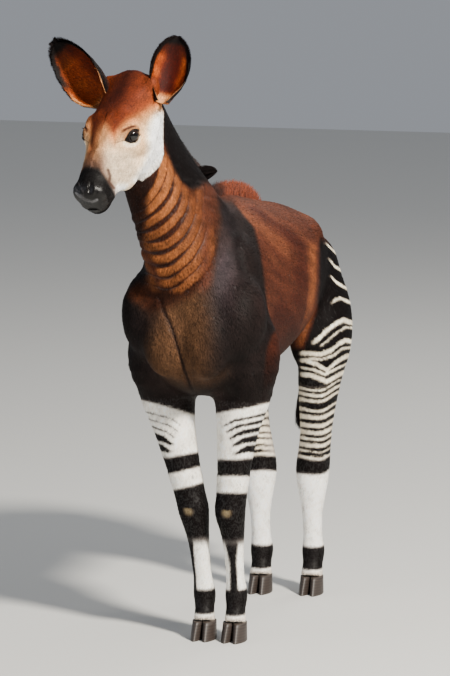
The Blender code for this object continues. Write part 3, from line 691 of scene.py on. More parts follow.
def marks(points):
    """The hide's colour at each point, in daylight numbers from 0 to 255."""
    twin = left_twin(points)
    across, down = side_view(twin)
    x, y, z = points.T
    put = Layers(FLANK, len(points))
    wave, fine = ripple(points, 0.06, 3), ripple(points, 0.012, 5)
    # back and flank
    put(BACK, step(1.02, 1.13, z) * 0.8)
    streak = ripple(points @ STREAKS, 0.020, 12)
    # streaks of lighter russet hair with painted sheen on them, and darker streaks of hair between
    put(RUSSET_SHEEN, step(0.1, 1.0, 0.6 * wave + 0.7 * streak) * step(0.8, 1.0, z) * 0.5)
    put((52, 22, 17), step(0.1, 1.1, -0.6 * wave - 0.7 * streak) * 0.45)
    put(RED_SHADE, step(0.92, 0.74, z + 0.02 * wave) * step(0.60, 0.50, y) * 0.8)
    put(BELLY, step(0.76, 0.66, z + 0.015 * wave) * step(0.60, 0.50, y))
    # painted shade behind the elbow, where the foreleg meets the body
    elbow = step(0.12, 0.06, y - 0.25 * (0.86 - z)) * step(0.80, 0.72, z)
    put(ELBOW_SHADE, elbow * 0.7)
    # shoulder and breast
    border = np.interp(z, (0.64, 0.693, 0.75, 0.813, 0.872, 0.959, 1.054, 1.155, 1.2),
        (-0.02, 0.01, 0.04, 0.059, 0.031, -0.007, -0.053, -0.135, -0.2))
    front = step(0.012, -0.012, y - border + 0.006 * wave)
    blade = np.interp(down, (203, 207, 228, 257, 290, 300), (234, 237, 254, 260, 265, 266))
    front = np.maximum(front, step(blade + 2, blade - 3, across + wave) * step(196, 210,
        down) * (y < 0.12) * (z > 0.86))
    arm = np.interp(down, (300, 335, 350, 403), (300, 270, 265, 260))
    front *= (
        step(arm + 3, arm - 2, across + wave) + (z > 0.86) - step(arm + 3, arm - 2, across + wave)
        * (z > 0.86)
    )
    # painted highlight: a pale line along the edge of the shoulder blade
    put(BORDER_HIGHLIGHT, np.exp(-(((y - border - 0.006) / 0.004) ** 2)) * step(0.75, 0.85, z) * 0.35)
    put(DARK, front)
    put(SOFT_BLACK, front * step(0.0, 1.0, wave) * 0.5)
    sheen = np.exp(-(((across - 222) / 16) ** 2) - ((down - 262) / 50) ** 2)
    put(SHEEN, front * sheen * (x > -0.02) * 0.8)
    middle = np.abs(x + 0.058)
    groove = groove_at(points)
    breast = front * step(0.125, 0.030, middle + 0.022 * wave) * step(0.66, 0.74, z) * step(-0.06, -0.13, y)
    put(BREAST, breast * 0.9)
    # painted shade in the groove down the middle of the breast
    put(GROOVE_SHADE, front * groove * 0.9)
    # neck: brown, with painted highlight on the ridges of its folds and painted shade in the grooves
    # between them, and a black strip below the crest
    neck = (
        step(0.97, 1.05, z + 0.35 * (-y - 0.05) + 0.015 * wave) * step(0.07, -0.02, y)
        * step(0.93, 0.98, z)
    )
    crease = np.interp(down, (195, 203, 220, 247, 273), (219, 222, 233, 236, 243))
    limit = crease - np.interp(down, (190, 205, 240, 290), (0, 9, 24, 34))
    on_neck = step(limit + 7, limit - 7, across + 2 * wave) * neck
    put(NECK_BROWN, on_neck)
    zone = fold_zone(points)
    ridge = fold_height(points)
    # painted shade over the folds, which stays in the grooves
    put(FOLD_GROOVE_SHADE, zone * 0.85)
    # painted highlight on the ridges of the folds
    ridge_highlight = step(0.1, 0.9, ridge + 0.14 * fine) * np.maximum(zone, 0.2) * (0.72 + 0.28 * wave)
    put(FOLD_RIDGE_HIGHLIGHT, ridge_highlight)
    put(FOLD_PALE, zone * step(172, 204, across + 0.35 * (210 - down)) * 0.55)
    real_across, real_down = side_view(points)
    shade = np.interp(real_down, (185, 213, 251, 275), (150, 148, 142, 139))
    put(NECK_SHADE, step(shade + 4, shade - 5, real_across + wave) * on_neck * shown(points) * 0.8)
    throat = step(0.040, 0.0, np.abs(x - neck_middle(z, 0))) * on_neck
    put(THROAT, throat * 0.8 * step(1.20, 1.30, z) * step(-0.05, -0.1, y))
    strip = step(-3, 3, across - np.interp(down, (105, 140, 165, 180, 190), (162, 163, 172, 180, 192)))
    strip *= step(196, 186, down + 0.25 * (across - 185)) * (neck > 0.02) * step(1.13, 1.17, z)
    put(BLACK, strip)
    put(NAPE_BROWN, step(196, 206, across) * step(176, 186, down) * on_neck * 0.8)
    # painted shade in the crease between neck and shoulder
    crease_shade = (
        0.6 * np.exp(-(((across - crease) / 4.2) ** 2)) * step(190, 200, down) * step(285, 262, down)
        * step(0.12, 0.0, y) * (z > 0.9)
    )
    put(NECK_CREASE_SHADE, crease_shade)
    unseen = step(-0.02, -0.06, x) * step(0.76, 0.80, z) * step(1.05, 1.0, z)
    unseen *= step(0.012, -0.012, y - border) * step(-0.17, -0.12, y - border)
    put(DARK, unseen * 0.95)
    leg_marks(points, twin, across, down, put, wave)
    face_marks(points, across, down, put, wave, fine)
    grain = 1 + 0.05 * ripple(points, 0.004, 8)
    return np.clip(put.now * grain[:, None], 3, 250)


def leg_marks(points, twin, across, down, put, wave):
    """Lays the stripes and bands of the legs over the colours."""
    x, y, z = points.T
    hind = y > 0.36
    # the thigh: a tan strip in front, black behind, pale stripes across
    edge = np.interp(down, (236, 280, 310, 345, 360), (316, 316, 314, 303, 298))
    thigh = hind & (z > 0.30)
    tan_strip = (
        step(-13, -3, across - edge) * step(2, -2, across - edge) * step(236, 250, down)
        * step(352, 340, down)
    )
    put(TAN, tan_strip * thigh * step(0.02, 0.05, twin[:, 0]) * (0.48 + 0.2 * wave))
    black = step(-1, 3, across - edge - 2) * step(232, 246, down - 0.5 * (across - 322)) * thigh
    black = np.maximum(black, step(346, 352, down) * thigh * step(0.80, 0.74, z))
    put(BLACK, black)
    inner = step(0.055, 0.02, twin[:, 0] + 0.02) * step(0.76, 0.66, z) * step(0.80, 0.74, y) * thigh
    for xs, ys, half in PALE_LINES:
        far = np.abs(down - np.interp(across, xs, ys) + 0.5 * wave)
        reach = step(xs[0] - 3, xs[0] + 3, across)
        thin = 0.55 + 0.45 * reach
        put(STRIPE, step(half * thin + 0.7, half * thin - 0.5, far) * reach * thigh)
    bend = 2.5 * np.sin(np.clip((across - 300) / 34, 0, 1.4) * math.pi) - 6.0 * step(320, 340, across)
    row = down - bend + 0.6 * wave
    lower = step(383, 386, row) * thigh
    put(STRIPE, lower)
    for centre, half in DARK_LINES:
        fade = 0.6 + 0.4 * step(297, 312, across)
        half = 1.35 * half * fade
        put(BLACK, step(half + 0.8, half - 0.4, np.abs(row - centre)) * lower)
    put((214, 206, 196), inner * step(352, 362, down))
    # hind legs below the hock
    shin = hind & (z < 0.46)
    put((250, 246, 240), shin * step(455, 460, row))
    put(BLACK, shin * step(456, 459, row) * step(474, 470, row + 1.5 * wave))
    rear = step(0.0, 0.02, y - np.interp(z, (0.05, 0.3, 0.42), (0.70, 0.705, 0.72)))
    put((60, 44, 40), shin * rear * step(0.30, 0.2, z) * 0.5)
    # forelegs
    fore = (~hind) & (z < 0.665)
    left_leg = x > -0.02
    real_across, real_down = side_view(points)
    lean = np.where(left_leg, (real_across - 232) / 23, (real_across - 180) / 20)
    low = step(425, 462, real_down)
    top = np.where(left_leg, -5 * (1 - low) * lean + 5 * low, 5.5 * (1 - low) * lean - 5 * low * lean)
    row = real_down + 0.7 * wave - top
    cuff = step(-1.5, 1.5, row - 410) * fore
    put(WHITE, cuff)
    outer = np.where(left_leg, step(-0.45, 0.45, lean - 0.02 * (row - 430)),
        step(0.1, -0.7, lean + 0.02 * (row - 430)))
    for centre, half in FORE_LINES:
        thick = half * (0.3 + 0.7 * outer) * np.where(left_leg, 1.0, 0.25 + 0.75 * (centre > 438))
        shape = step(thick + 0.6, thick - 0.5, np.abs(row - centre + 4 * outer)) * step(0.0, 0.25, outer)
        put(BLACK, shape * cuff)
    put(BLACK, step(453, 457, row + 2 * outer) * fore)
    garter = step(469, 472, row) * step(490, 486, row)
    put(WHITE, garter * fore)
    below = (~hind) & (z < 0.36)
    # the shank: white, with a dark band down the front and the outer side
    shank = step(0.285, 0.250, z) * (~hind)
    put((248, 244, 236), shank)
    for name, mine in (("foreleg_left", left_leg), ("foreleg_right", ~left_leg)):
        centre_x, centre_y = leg_middle(name, z)
        sign = 1 if name == "foreleg_left" else -1
        angle = np.arctan2((x - centre_x) * sign, -(y - centre_y))
        width = (0.36 if sign > 0 else 0.52) + 0.25 * step(0.20, 0.28, z)
        band = step(width + 0.12, width - 0.12, np.abs(angle - (0.12 if sign > 0 else 0.95)))
        put(BLACK, band * shank * mine * step(0.10, 0.13, z))
        spot = np.exp(-(((angle - 0.05) / 0.5) ** 2) - ((z - 0.352) / 0.022) ** 2)
        put((150, 134, 104), step(0.45, 1.0, spot + 0.08 * wave) * mine * below * 0.8)
    # a dark pastern and a white ring above each hoof
    put(BLACK, step(0.138, 0.128, z + 0.003 * wave) * step(0.066, 0.074, z) * (z < 0.2))
    put((226, 216, 204), step(0.068, 0.062, z))


def face_marks(points, across, down, put, wave, fine):
    """Lays the colours of the head over the others."""
    along, left, up = head_places(points)
    side = np.abs(left)
    jaw = np.interp(down, (104, 112, 135, 154, 166, 173, 179, 184, 190),
        (160, 163, 162.5, 163, 159, 152, 144, 136, 126))
    behind = (points[:, 2] > 1.14) & (points[:, 1] < -0.12) & (down > 100) & (down < 200)
    reach = step(jaw + 0.8, jaw - 0.8, across) * behind * step(0.012, 0.030, side)
    head = np.maximum(in_head(points).astype(float), reach)
    put(CREAM, head)
    put(CHEEK_TAN, head * step(0.0, 0.6, wave + 0.4) * step(172, 135, down) * 0.6)
    # painted grey shade low on the cheek, towards the mouth
    put(CHEEK_GREY_SHADE, head * step(142, 158, down) * step(146, 128, across) * 0.6)
    put(CHEEK_SHADE, head * step(0.2, 0.9, fine + wave) * step(140, 110, across) * 0.25)
    # white of the jaw and cheek, with painted blue-grey shade near the neck
    white = step(-6, 6, across - np.interp(down, (108, 130, 150, 165, 185, 200),
        (156, 148, 148, 143, 130, 124)))
    put(CHEEK_WHITE, head * white * step(104, 116, down))
    put(JAW_BLUE_SHADE, head * step(156, 163, across) * step(104, 116, down) * 0.7)
    below = step(-0.165, -0.19, up) * step(0.30, 0.24, along)
    put(JAW_BELOW, head * below * 0.8)
    # the brown of forehead and bridge
    line = np.interp(across, (70, 86, 92, 100, 107, 112, 118, 126, 135, 143, 150, 158, 166, 180),
        (180, 176, 168, 159, 147, 138, 129, 121, 116, 111, 106, 103, 100, 84))
    brown = step(6, -7, down - line + 1.5 * wave)
    put(BROW_EDGE, head * step(17, 0, down - line) * 0.8)
    put(FOREHEAD, head * brown)
    bridge = head * step(0.035, 0.0, side) * step(0.16, 0.22, along) * step(-0.10, -0.05, up)
    put(BRIDGE, bridge * 0.85)
    put(BRIDGE_DARK, head * step(0.25, 0.30, along) * step(0.045, 0.02, side) * step(-0.12, -0.05,
        up) * 0.7)
    patch = np.exp(-(((side + 0.010 * wave) / 0.026) ** 2)) * step(0.17, 0.09, along + 0.02 * wave)
    put(POLL_DARK, head * brown * patch * 0.85)
    put(BROW_WARM, head * brown * step(0.035, 0.06, side) * step(-0.3, 0.5, wave) * 0.7)
    # lids, painted shade in the fold above them, and the pale rim below
    for way in (1, -1):
        away, a, u, o = eye_places(points, way)
        near = (o > 0) & (np.linalg.norm(away, axis=1) < 0.06)
        ring = np.hypot(a / 0.0205, (u + 0.0005) / (0.0155 + 0.0015 * (u > 0)))
        put(LID_PALE, near * step(2.0, 1.5, ring) * step(0.004, -0.004, u) * 0.9)
        put(LID_BROWN, near * step(1.75, 1.3, ring) * step(-0.002, 0.006, u) * 0.7)
        put(LID_DARK, near * step(1.20, 1.02, ring))
        almond = 0.0175 * np.clip(1 - (np.abs(a) / 0.031) ** 1.7, 0, 1)
        put(LID_DARK, near * step(0.0016, -0.0010, np.abs(u - 0.05 * a) - almond))
        # painted shade along the fold above the eye
        brow = np.abs(u - 0.0250 + 10 * (a - 0.006) ** 2)
        put(LID_FOLD_SHADE, near * step(0.0042, 0.0012, brow) * step(0.026, 0.012, np.abs(a - 0.006)) * 0.85)
    # the dark muzzle, a painted highlight on its wet lip, and the pale chin
    edge = 0.312 + 0.9 * np.clip(side - 0.020, 0, 0.04) - 0.10 * np.minimum(0, up + 0.10)
    dark = step(-0.008, 0.010, along - edge + 0.003 * wave)
    put(MUZZLE_EDGE, head * step(-0.030, 0.0, along - edge + 0.003 * wave) * 0.55)
    put(MUZZLE, head * dark)
    real_across, real_down = side_view(points)
    # painted highlight along the wet upper lip
    far, place = path_distance(real_across, real_down, WET_LIP_HIGHLIGHT)
    lip = (
        step(2.4, 0.8, far + 0.6 * fine) * step(0.345, 0.355, along)
        * (0.35 + 0.4 * np.abs(2 * place - 1))
    )
    put(LIP_HIGHLIGHT, head * lip)
    far, _ = path_distance(across, down, NOSTRIL_LINE)
    # painted highlight on the nostril's raised rim, and painted shade in its slit
    put(NOSTRIL_RIM_HIGHLIGHT, head * np.exp(-(((far - 2.6) / 0.9) ** 2)) * step(0.33, 0.345, along) * 0.7)
    put(NOSTRIL_HOLE_SHADE, head * step(1.9, 0.9, far) * step(0.33, 0.345, along))
    far, _ = path_distance(real_across, real_down, MOUTH_CREASE)
    put(MOUTH_SHADE, head * step(2.2, 0.4, far) * (left > 0) * 0.7)
    chin = step(0.030, 0.016, np.hypot(along - 0.272, (up + 0.160) * 0.9))
    put(CHIN, head * chin * (1 - dark) * 0.6)


def sculpt(points, normals):
    """Moves the skin's points: the coat's depth inward, folds, grooves, lids, nostrils and mouth."""
    head = in_head(points)
    along, left, up = head_places(points)
    depth = np.where(head, FACE_DEPTH, COAT_DEPTH)
    feet = points[:, 2] < 0.45
    depth = np.where(feet, 0.0018, depth)
    move = -depth
    folds = fold_height(points)
    zone = fold_zone(points)
    move += 0.0058 * folds - 0.0024 * zone
    across, down = side_view(left_twin(points))
    front = (points[:, 1] < 0.1) & (points[:, 2] > 0.7)
    crease = np.interp(down, (195, 203, 220, 247, 273), (219, 222, 233, 236, 243))
    move -= (
        0.0038 * np.exp(-(((across - crease) / 4.5) ** 2)) * step(195, 210, down)
        * step(285, 262, down) * front
    )
    move -= 0.0050 * groove_at(points)
    wrinkle = (
        np.sin(down / 4.2 * 2 + 0.05 * across) * step(0.66, 0.70, points[:, 2])
        * step(0.80, 0.74, points[:, 2])
    )
    move += 0.0006 * wrinkle * (points[:, 1] < 0.08) * (np.abs(points[:, 0] + 0.046) > 0.09)
    real_across, real_down = side_view(points)
    far, _ = path_distance(real_across, real_down, MOUTH_CREASE)
    twin_far, _ = path_distance(*side_view(left_twin(points)), MOUTH_CREASE)
    move -= 0.0022 * np.exp(-((np.minimum(far, twin_far) / 1.8) ** 2)) * head
    for path, width, rise in CHEEKS:
        twin_far, place = path_distance(*side_view(left_twin(points)), path)
        move += (
            rise * np.exp(-((twin_far / width) ** 2)) * head * step(-0.02, 0.2, place)
            * step(1.02, 0.8, place)
        )
    crown = head * step(0.15, 0.05, along) * step(0.085, 0.045, np.abs(left)) * step(-0.05, -0.02, up)
    move -= CROWN_DROP * crown
    made = points + normals * move[:, None]
    made -= np.array(HEAD_ALONG) * (MUZZLE_TRIM * step(0.24, 0.36, along) * head)[:, None]
    # mouth line and lips
    inward = np.array([on_head(a, 0, -0.085) for a in (0.0, 1.0)])
    axis = inward[0] + (inward[1] - inward[0]) * along[:, None]
    toward = axis - made
    toward = unit(toward)
    lip_line = up + MOUTH_DROP - MOUTH_RISE * (0.40 - along)
    reach = step(0.285, 0.31, along) * head
    made += toward * (0.0065 * np.exp(-((lip_line / 0.0035) ** 2)) * reach)[:, None]
    made -= toward * (0.0022 * np.exp(-(((lip_line - 0.010) / 0.006) ** 2)) * reach)[:, None]
    # nostrils: slanting slits with a raised rim
    for way in (1, -1):
        place = np.array(on_head(NOSTRIL_AT[0], way * NOSTRIL_AT[1], NOSTRIL_AT[2]))
        inside = HEAD_ALONG * -0.75 + HEAD_LEFT * (-way * 0.60) + HEAD_UP * 0.05
        inside = inside.normalized()
        slit = HEAD_UP * 0.55 - HEAD_ALONG * 0.30 + HEAD_LEFT * (way * 0.75)
        slit = (slit - inside * slit.dot(inside)).normalized()
        cross = inside.cross(slit)
        away = made - place
        s, c = away @ np.array(slit), away @ np.array(cross)
        c = c - way * 5.0 * s * s
        own = head * step(0.001, 0.006, left * way) * step(0.030, 0.024, np.linalg.norm(away, axis=1))
        hole = np.exp(-((s / 0.0115) ** 4 + (c / 0.0040) ** 2)) * own
        rim = np.exp(-((s / 0.014) ** 4 + ((np.abs(c) - 0.0080) / 0.0032) ** 2)) * own
        made += np.array(inside) * (0.0085 * hole - 0.0014 * rim)[:, None]
    # lids: a shell over the eyeball with an almond opening
    for way in (1, -1):
        centre = np.array(eye_centre(way))
        away, a, u, o = eye_places(made, way)
        far = np.linalg.norm(away, axis=1)
        grow = np.maximum(far, EYE_RADIUS + 0.0022)
        near = (o > -0.004) & (far < EYE_RADIUS + 0.02)
        ray = unit(away, 1e-6)
        lifted = centre + ray * grow[:, None]
        made[near] = lifted[near]
        ring = np.hypot(a / 0.0190, (u + 0.0004) / 0.0144)
        opening = step(1.04, 0.94, ring) * near * (o > 0)
        inner = centre + ray * (EYE_RADIUS - 0.005)
        made += (inner - made) * opening[:, None]
        fold = np.exp(-(((u - 0.0245 + 10 * a * a) / 0.0020) ** 2)) * step(0.024, 0.012, np.abs(a)) * near
        brim = np.exp(-(((ring - 1.16) / 0.10) ** 2)) * step(-0.006, 0.006, u) * near
        made += ray * (0.0016 * brim - 0.0026 * fold)[:, None]
    return made


def eye_axes(way):
    """The way that an eye looks, its long way towards the nose, and their cross product."""
    out = eye_way(way)
    long = HEAD_LEFT * (EYE_LONG[1] * way) + HEAD_ALONG * EYE_LONG[0] + HEAD_UP * EYE_LONG[2]
    long = (long - out * long.dot(out)).normalized()
    return out, long, out.cross(long)


def eye_centre(way):
    return on_head(EYE_ALONG, way * EYE_SIDE, EYE_UP)


def eye_places(points, way):
    """The way to each point from an eye, and its parts: along the opening, up and out."""
    out, long, high = (np.array(v) for v in eye_axes(way))
    away = points - np.array(eye_centre(way))
    return away, away @ long, -way * (away @ high), away @ out


def arrays(mesh):
    """The mesh's points and their normals."""
    points = np.empty(len(mesh.vertices) * 3)
    mesh.vertices.foreach_get("co", points)
    normals = np.empty(len(mesh.vertices) * 3)
    mesh.vertices.foreach_get("normal", normals)
    return points.reshape(-1, 3), normals.reshape(-1, 3)


def refine(body, chosen):
    """Splits the faces for which chosen(points) is true into four."""
    bm = bmesh.new()
    bm.from_mesh(body.data)
    points = np.array([v.co for v in bm.verts])
    keep = chosen(points)
    edges = [e for e in bm.edges if keep[e.verts[0].index] and keep[e.verts[1].index]]
    bmesh.ops.subdivide_edges(bm, edges=edges, cuts=1, use_grid_fill=True, smooth=0.6)
    bm.to_mesh(body.data)
    bm.free()
    return body


def rounded_body():
    """The same form as the solid body: lofted parts made one, then smoothed like muscle under skin."""
    bm = bmesh.new()
    add_torso(bm)
    limb(bm, NECK)
    for name in LEGS:
        limb(bm, leg_rows(name))
        add_hock(bm, name)
    limb(bm, [(x, y, z - CREST_DROP * float(step(0.0, 0.08, y)), *sizes) for x, y, z, *sizes in MANE])
    add_head(bm)
    bmesh.ops.recalc_face_normals(bm, faces=bm.faces)
    body = new_object("hide", bm)
    remesh = body.modifiers.new("one form", "REMESH")
    remesh.mode = "VOXEL"
    remesh.voxel_size = BODY_VOXEL
    body = applied(body)
    trunk = body.vertex_groups.new(name="trunk")
    for vert in body.data.vertices:
        weight = min(1, max(0, (vert.co.z - 0.58) / 0.1)) * min(1, max(0, (vert.co.y + 0.36) / 0.08))
        trunk.add([vert.index], weight, "REPLACE")
    for name, group, turns in (("muscle", "trunk", 45), ("skin", "", 8)):
        smooth = body.modifiers.new(name, "SMOOTH")
        smooth.factor = 0.5
        smooth.iterations = turns
        smooth.vertex_group = group
    body = applied(body)
    body.vertex_groups.clear()
    return body


def near_face(points):
    """The parts of the head that are modelled finest: eyes, muzzle and mouth."""
    along, left, up = head_places(points)
    chosen = in_head(points) & (along > 0.315)
    for way in (1, -1):
        centre = np.array(eye_centre(way))
        chosen |= np.linalg.norm(points - centre, axis=1) < 0.042
    return chosen


def front_part(points):
    return (points[:, 2] > 1.0) & (points[:, 1] < 0.10)


def make_skin():
    body = rounded_body()
    refine(body, front_part)
    refine(body, near_face)
    settle = body.modifiers.new("settle", "SMOOTH")
    settle.factor = 0.5
    settle.iterations = 3
    body = applied(body)
    points, normals = arrays(body.data)
    made = sculpt(points, normals)
    body.data.vertices.foreach_set("co", made.ravel())
    body.data.update()
    return body


def paint(mesh, colours):
    """Stores linear colours, one for each point."""
    layer = mesh.color_attributes.new("hide", "FLOAT_COLOR", "POINT")
    full = np.ones((len(colours), 4), np.float32)
    full[:, :3] = colours
    layer.data.foreach_set("color", full.ravel())


def split_skin(body):
    """Two objects of one skin, so that each stays light. They overlap by a few rings of faces."""
    mesh = body.data
    points, _ = arrays(mesh)
    x, y, z = points.T
    parts = {
        "skin_front": (z > FRONT_FROM[0]) & (y < FRONT_FROM[1]),
        "skin_body": (z < BODY_FROM[0]) | (y > BODY_FROM[1]),
    }
    pieces = []
    for name, keep in parts.items():
        bm = bmesh.new()
        bm.from_mesh(mesh)
        bm.verts.ensure_lookup_table()
        away = [v for v in bm.verts if not keep[v.index]]
        bmesh.ops.delete(bm, geom=away, context="VERTS")
        pieces.append(new_object(name, bm))
    return pieces
def lie(points, normals):
    """The way the hair lies at each point, along the skin."""
    x, y, z = points.T
    head = in_head(points)
    along, left, up = head_places(points)
    way = np.zeros_like(points)
    way[:] = (0.0, 1.0, -0.40)
    neck = step(1.0, 1.1, z) * step(0.05, -0.05, y)
    way += neck[:, None] * (np.array((0.05, 0.20, -1.0)) - way)
    shoulder = step(0.12, 0.0, y) * step(1.1, 1.0, z)
    way += shoulder[:, None] * (np.array((0.0, 0.45, -1.0)) - way)
    rump = step(0.50, 0.62, y)
    way += rump[:, None] * (np.array((0.0, 0.55, -1.0)) - way)
    low = step(0.68, 0.58, z)
    way += low[:, None] * (np.array((0.0, 0.12, -1.0)) - way)
    back = -np.array(HEAD_ALONG)
    spread = (
        np.sign(left)[:, None] * np.array(HEAD_LEFT) * 0.25 - np.array(HEAD_UP) * 0.30
        * step(-0.03, -0.12, up)[:, None]
    )
    way = np.where(head[:, None], back + spread, way)
    way = (
        way + 0.18
        * np.stack([ripple(points, 0.09, 21), ripple(points, 0.09, 22), ripple(points, 0.09, 23)], 1)
    )
    way -= normals * np.sum(way * normals, axis=1)[:, None]
    return unit(way, 1e-6)


def tri_mesh(name, points, faces, normals=None):
    """A mesh of triangles from arrays, with smooth normals where they are given."""
    mesh = bpy.data.meshes.new(name)
    mesh.vertices.add(len(points))
    mesh.vertices.foreach_set("co", np.ascontiguousarray(points, np.float32).ravel())
    mesh.loops.add(faces.size)
    mesh.loops.foreach_set("vertex_index", np.ascontiguousarray(faces, np.int32).ravel())
    mesh.polygons.add(len(faces))
    mesh.polygons.foreach_set("loop_start", np.arange(0, faces.size, 3, dtype=np.int32))
    mesh.polygons.foreach_set("use_smooth", np.ones(len(faces), bool))
    mesh.update(calc_edges=True)
    if normals is not None:
        mesh.normals_split_custom_set_from_vertices(unit(normals).tolist())
    obj = bpy.data.objects.new(name, mesh)
    bpy.context.scene.collection.objects.link(obj)
    return obj


def unwrap(points):
    """A flat place for each point of the skin: round the part, and along it, each part in its own field."""
    x, y, z = points.T
    along, left, up = head_places(points)
    head = in_head(points)
    legs = (z < 0.66) & ~head
    angle = np.arctan2(x + 0.045, z - 0.92)
    u, v = 0.02 + 0.40 * (angle / (2 * math.pi) + 0.5), 0.02 + 0.45 * (y + 0.32) / 1.2
    neck = (z > 1.02) & (y < 0.06) & ~head
    angle = np.arctan2(x + 0.10, y + 0.20)
    u = np.where(neck, 0.45 + 0.25 * (angle / (2 * math.pi) + 0.5), u)
    v = np.where(neck, 0.02 + 0.45 * (z - 1.0) / 0.6, v)
    angle = np.arctan2(left, up + 0.09)
    u = np.where(head, 0.73 + 0.25 * (angle / (2 * math.pi) + 0.5), u)
    v = np.where(head, 0.02 + 0.45 * (along + 0.06) / 0.52, v)
    for k, name in enumerate(LEGS):
        cx, cy = leg_middle(name, z)
        mine = legs & ((x > -0.02) == name.endswith("left")) & ((y > 0.3) == name.startswith("hind"))
        angle = np.arctan2(x - cx, y - cy)
        u = np.where(mine, 0.02 + 0.245 * k + 0.22 * (angle / (2 * math.pi) + 0.5), u)
        v = np.where(mine, 0.52 + 0.44 * z / 0.70, v)
    return np.clip(np.stack([u, v], 1), 0.004, 0.996)


def ribbons(name, paths, widths, faces_out, colours, tips=1.15, roots=0.75, shade=None, profile=None):
    """Flat tapered tufts. paths is tufts x stations x 3, from the root to the tip."""
    count, stations, _ = paths.shape
    shares = np.linspace(0, 1, stations)
    profile = np.interp(shares, (0, 0.25, 0.6, 1.0),
        (0.85, 1.0, 0.72, 0.0)) if profile is None else np.array(profile)
    step_way = np.gradient(paths, axis=1)
    across = np.cross(step_way, np.broadcast_to(faces_out[:, None, :], step_way.shape))
    across = unit(across)
    half = across * (widths[:, None] * 0.5 * profile[None, :])[..., None]
    left, right = paths - half, paths + half
    per = 2 * (stations - 1) + 1
    points = np.empty((count, per, 3))
    points[:, 0 : per - 1 : 2] = left[:, :-1]
    points[:, 1 : per - 1 : 2] = right[:, :-1]
    points[:, per - 1] = paths[:, -1]
    pattern = []
    for k in range(stations - 2):
        a = 2 * k
        pattern += [(a, a + 1, a + 3), (a, a + 3, a + 2)]
    pattern.append((per - 3, per - 2, per - 1))
    pattern = np.array(pattern)
    faces = (pattern[None] + (np.arange(count) * per)[:, None, None]).reshape(-1, 3)
    normal = np.cross(across, step_way)
    normal = unit(normal)
    shade = faces_out if shade is None else shade
    mixed = 0.35 * normal + 0.65 * shade[:, None, :]
    normals = np.empty_like(points)
    normals[:, 0 : per - 1 : 2] = mixed[:, :-1] - 0.25 * across[:, :-1]
    normals[:, 1 : per - 1 : 2] = mixed[:, :-1] + 0.25 * across[:, :-1]
    normals[:, per - 1] = mixed[:, -1]
    obj = tri_mesh(name, points.reshape(-1, 3), faces, normals.reshape(-1, 3))
    tone = np.interp(shares, (0, 0.5, 1.0), (roots, 1.0, tips))
    station = np.array([k // 2 for k in range(per - 1)] + [stations - 1])
    colours = colours[:, station] if colours.ndim == 3 else colours[:, None, :]
    full = colours * tone[station][None, :, None]
    paint(obj.data, np.clip(full, 0, 1).reshape(-1, 3))
    # each tuft keeps a small patch of its own on the unwrap
    base = unwrap(paths[:, 0])
    size = 0.003
    local = np.empty((per, 2))
    local[:, 0] = [(-0.5 if k % 2 == 0 else 0.5) for k in range(per - 1)] + [0.0]
    local[:, 1] = shares[station] - 0.5
    uv = base[:, None, :] + local[None] * size
    layer = obj.data.uv_layers.new(name="OFBake")
    layer.data.foreach_set("uv", uv.reshape(-1, 2)[faces.ravel()].astype(np.float32).ravel())
    return obj


class Skin:
    """Triangles of the skin from which roots are drawn evenly by area."""

    def __init__(self, objs):
        corners, normals = [], []
        for obj, keep in objs:
            mesh = obj.data
            mesh.calc_loop_triangles()
            points, own = arrays(mesh)
            tris = np.empty(len(mesh.loop_triangles) * 3, np.int32)
            mesh.loop_triangles.foreach_get("vertices", tris)
            tris = tris.reshape(-1, 3)
            middle = points[tris].mean(axis=1)
            tris = tris[keep(middle)]
            corners.append(points[tris])
            normals.append(own[tris])
        self.corners, self.normals = np.concatenate(corners), np.concatenate(normals)
        a = self.corners[:, 1] - self.corners[:, 0]
        b = self.corners[:, 2] - self.corners[:, 0]
        self.areas = np.linalg.norm(np.cross(a, b), axis=1) / 2
        self.middle = self.corners.mean(axis=1)

    def draw(self, chosen, density, count, rng):
        pick = np.flatnonzero(chosen)
        weight = self.areas[pick] * density[pick]
        tri = rng.choice(pick, size=count, p=weight / weight.sum())
        s, t = rng.random(count), rng.random(count)
        flip = s + t > 1
        s, t = np.where(flip, 1 - s, s), np.where(flip, 1 - t, t)
        share = np.stack([1 - s - t, s, t], 1)[..., None]
        normal = (self.normals[tri] * share).sum(axis=1)
        normal = unit(normal)
        return (self.corners[tri] * share).sum(axis=1), normal


def bare(points):
    """True where no hair grows: the wet nose, the lips' edges, the eye openings."""
    along, left, up = head_places(points)
    found = in_head(points) & (along > 0.366) & (up > -0.118)
    for way in (1, -1):
        away, a, u, o = eye_places(points, way)
        found |= (o > 0) & (np.hypot(a / 0.0215, u / 0.0170) < 1)
    return found


def region(points):
    x, y, z = points.T
    along, left, up = head_places(points)
    found = np.full(len(points), "flank", dtype="<U6")
    found[y > 0.52] = "rump"
    found[(y < 0.10) & (z < 1.06)] = "chest"
    found[(z >= 1.06) & (y < 0.06)] = "neck"
    found[(z < 0.66) & ((y < 0.25) | (y > 0.40))] = "legs"
    head = in_head(points)
    found[head] = "face"
    found[head & (along < 0.12)] = "crown"
    return found


# The edge of the right ear that lies towards the crown
INNER_EDGE = 1
# The ears without their fringe are a little shorter than the solid ones
EAR_TRIM = {"ear_left": (0.94, 0.93), "ear_right": (1.0, 0.93)}
# Length, width and lift of a tuft in each region, in metres
TUFT_SIZES = {
    "face": (0.0060, 0.0016, 0.0007), "crown": (0.0085, 0.0020, 0.0012), "neck": (0.0090, 0.0023, 0.0011),
    "chest": (0.0125, 0.0030, 0.0015), "flank": (0.0140, 0.0034, 0.0017), "rump": (0.0125, 0.0030, 0.0015),
    "legs": (0.0075, 0.0022, 0.0006),
}


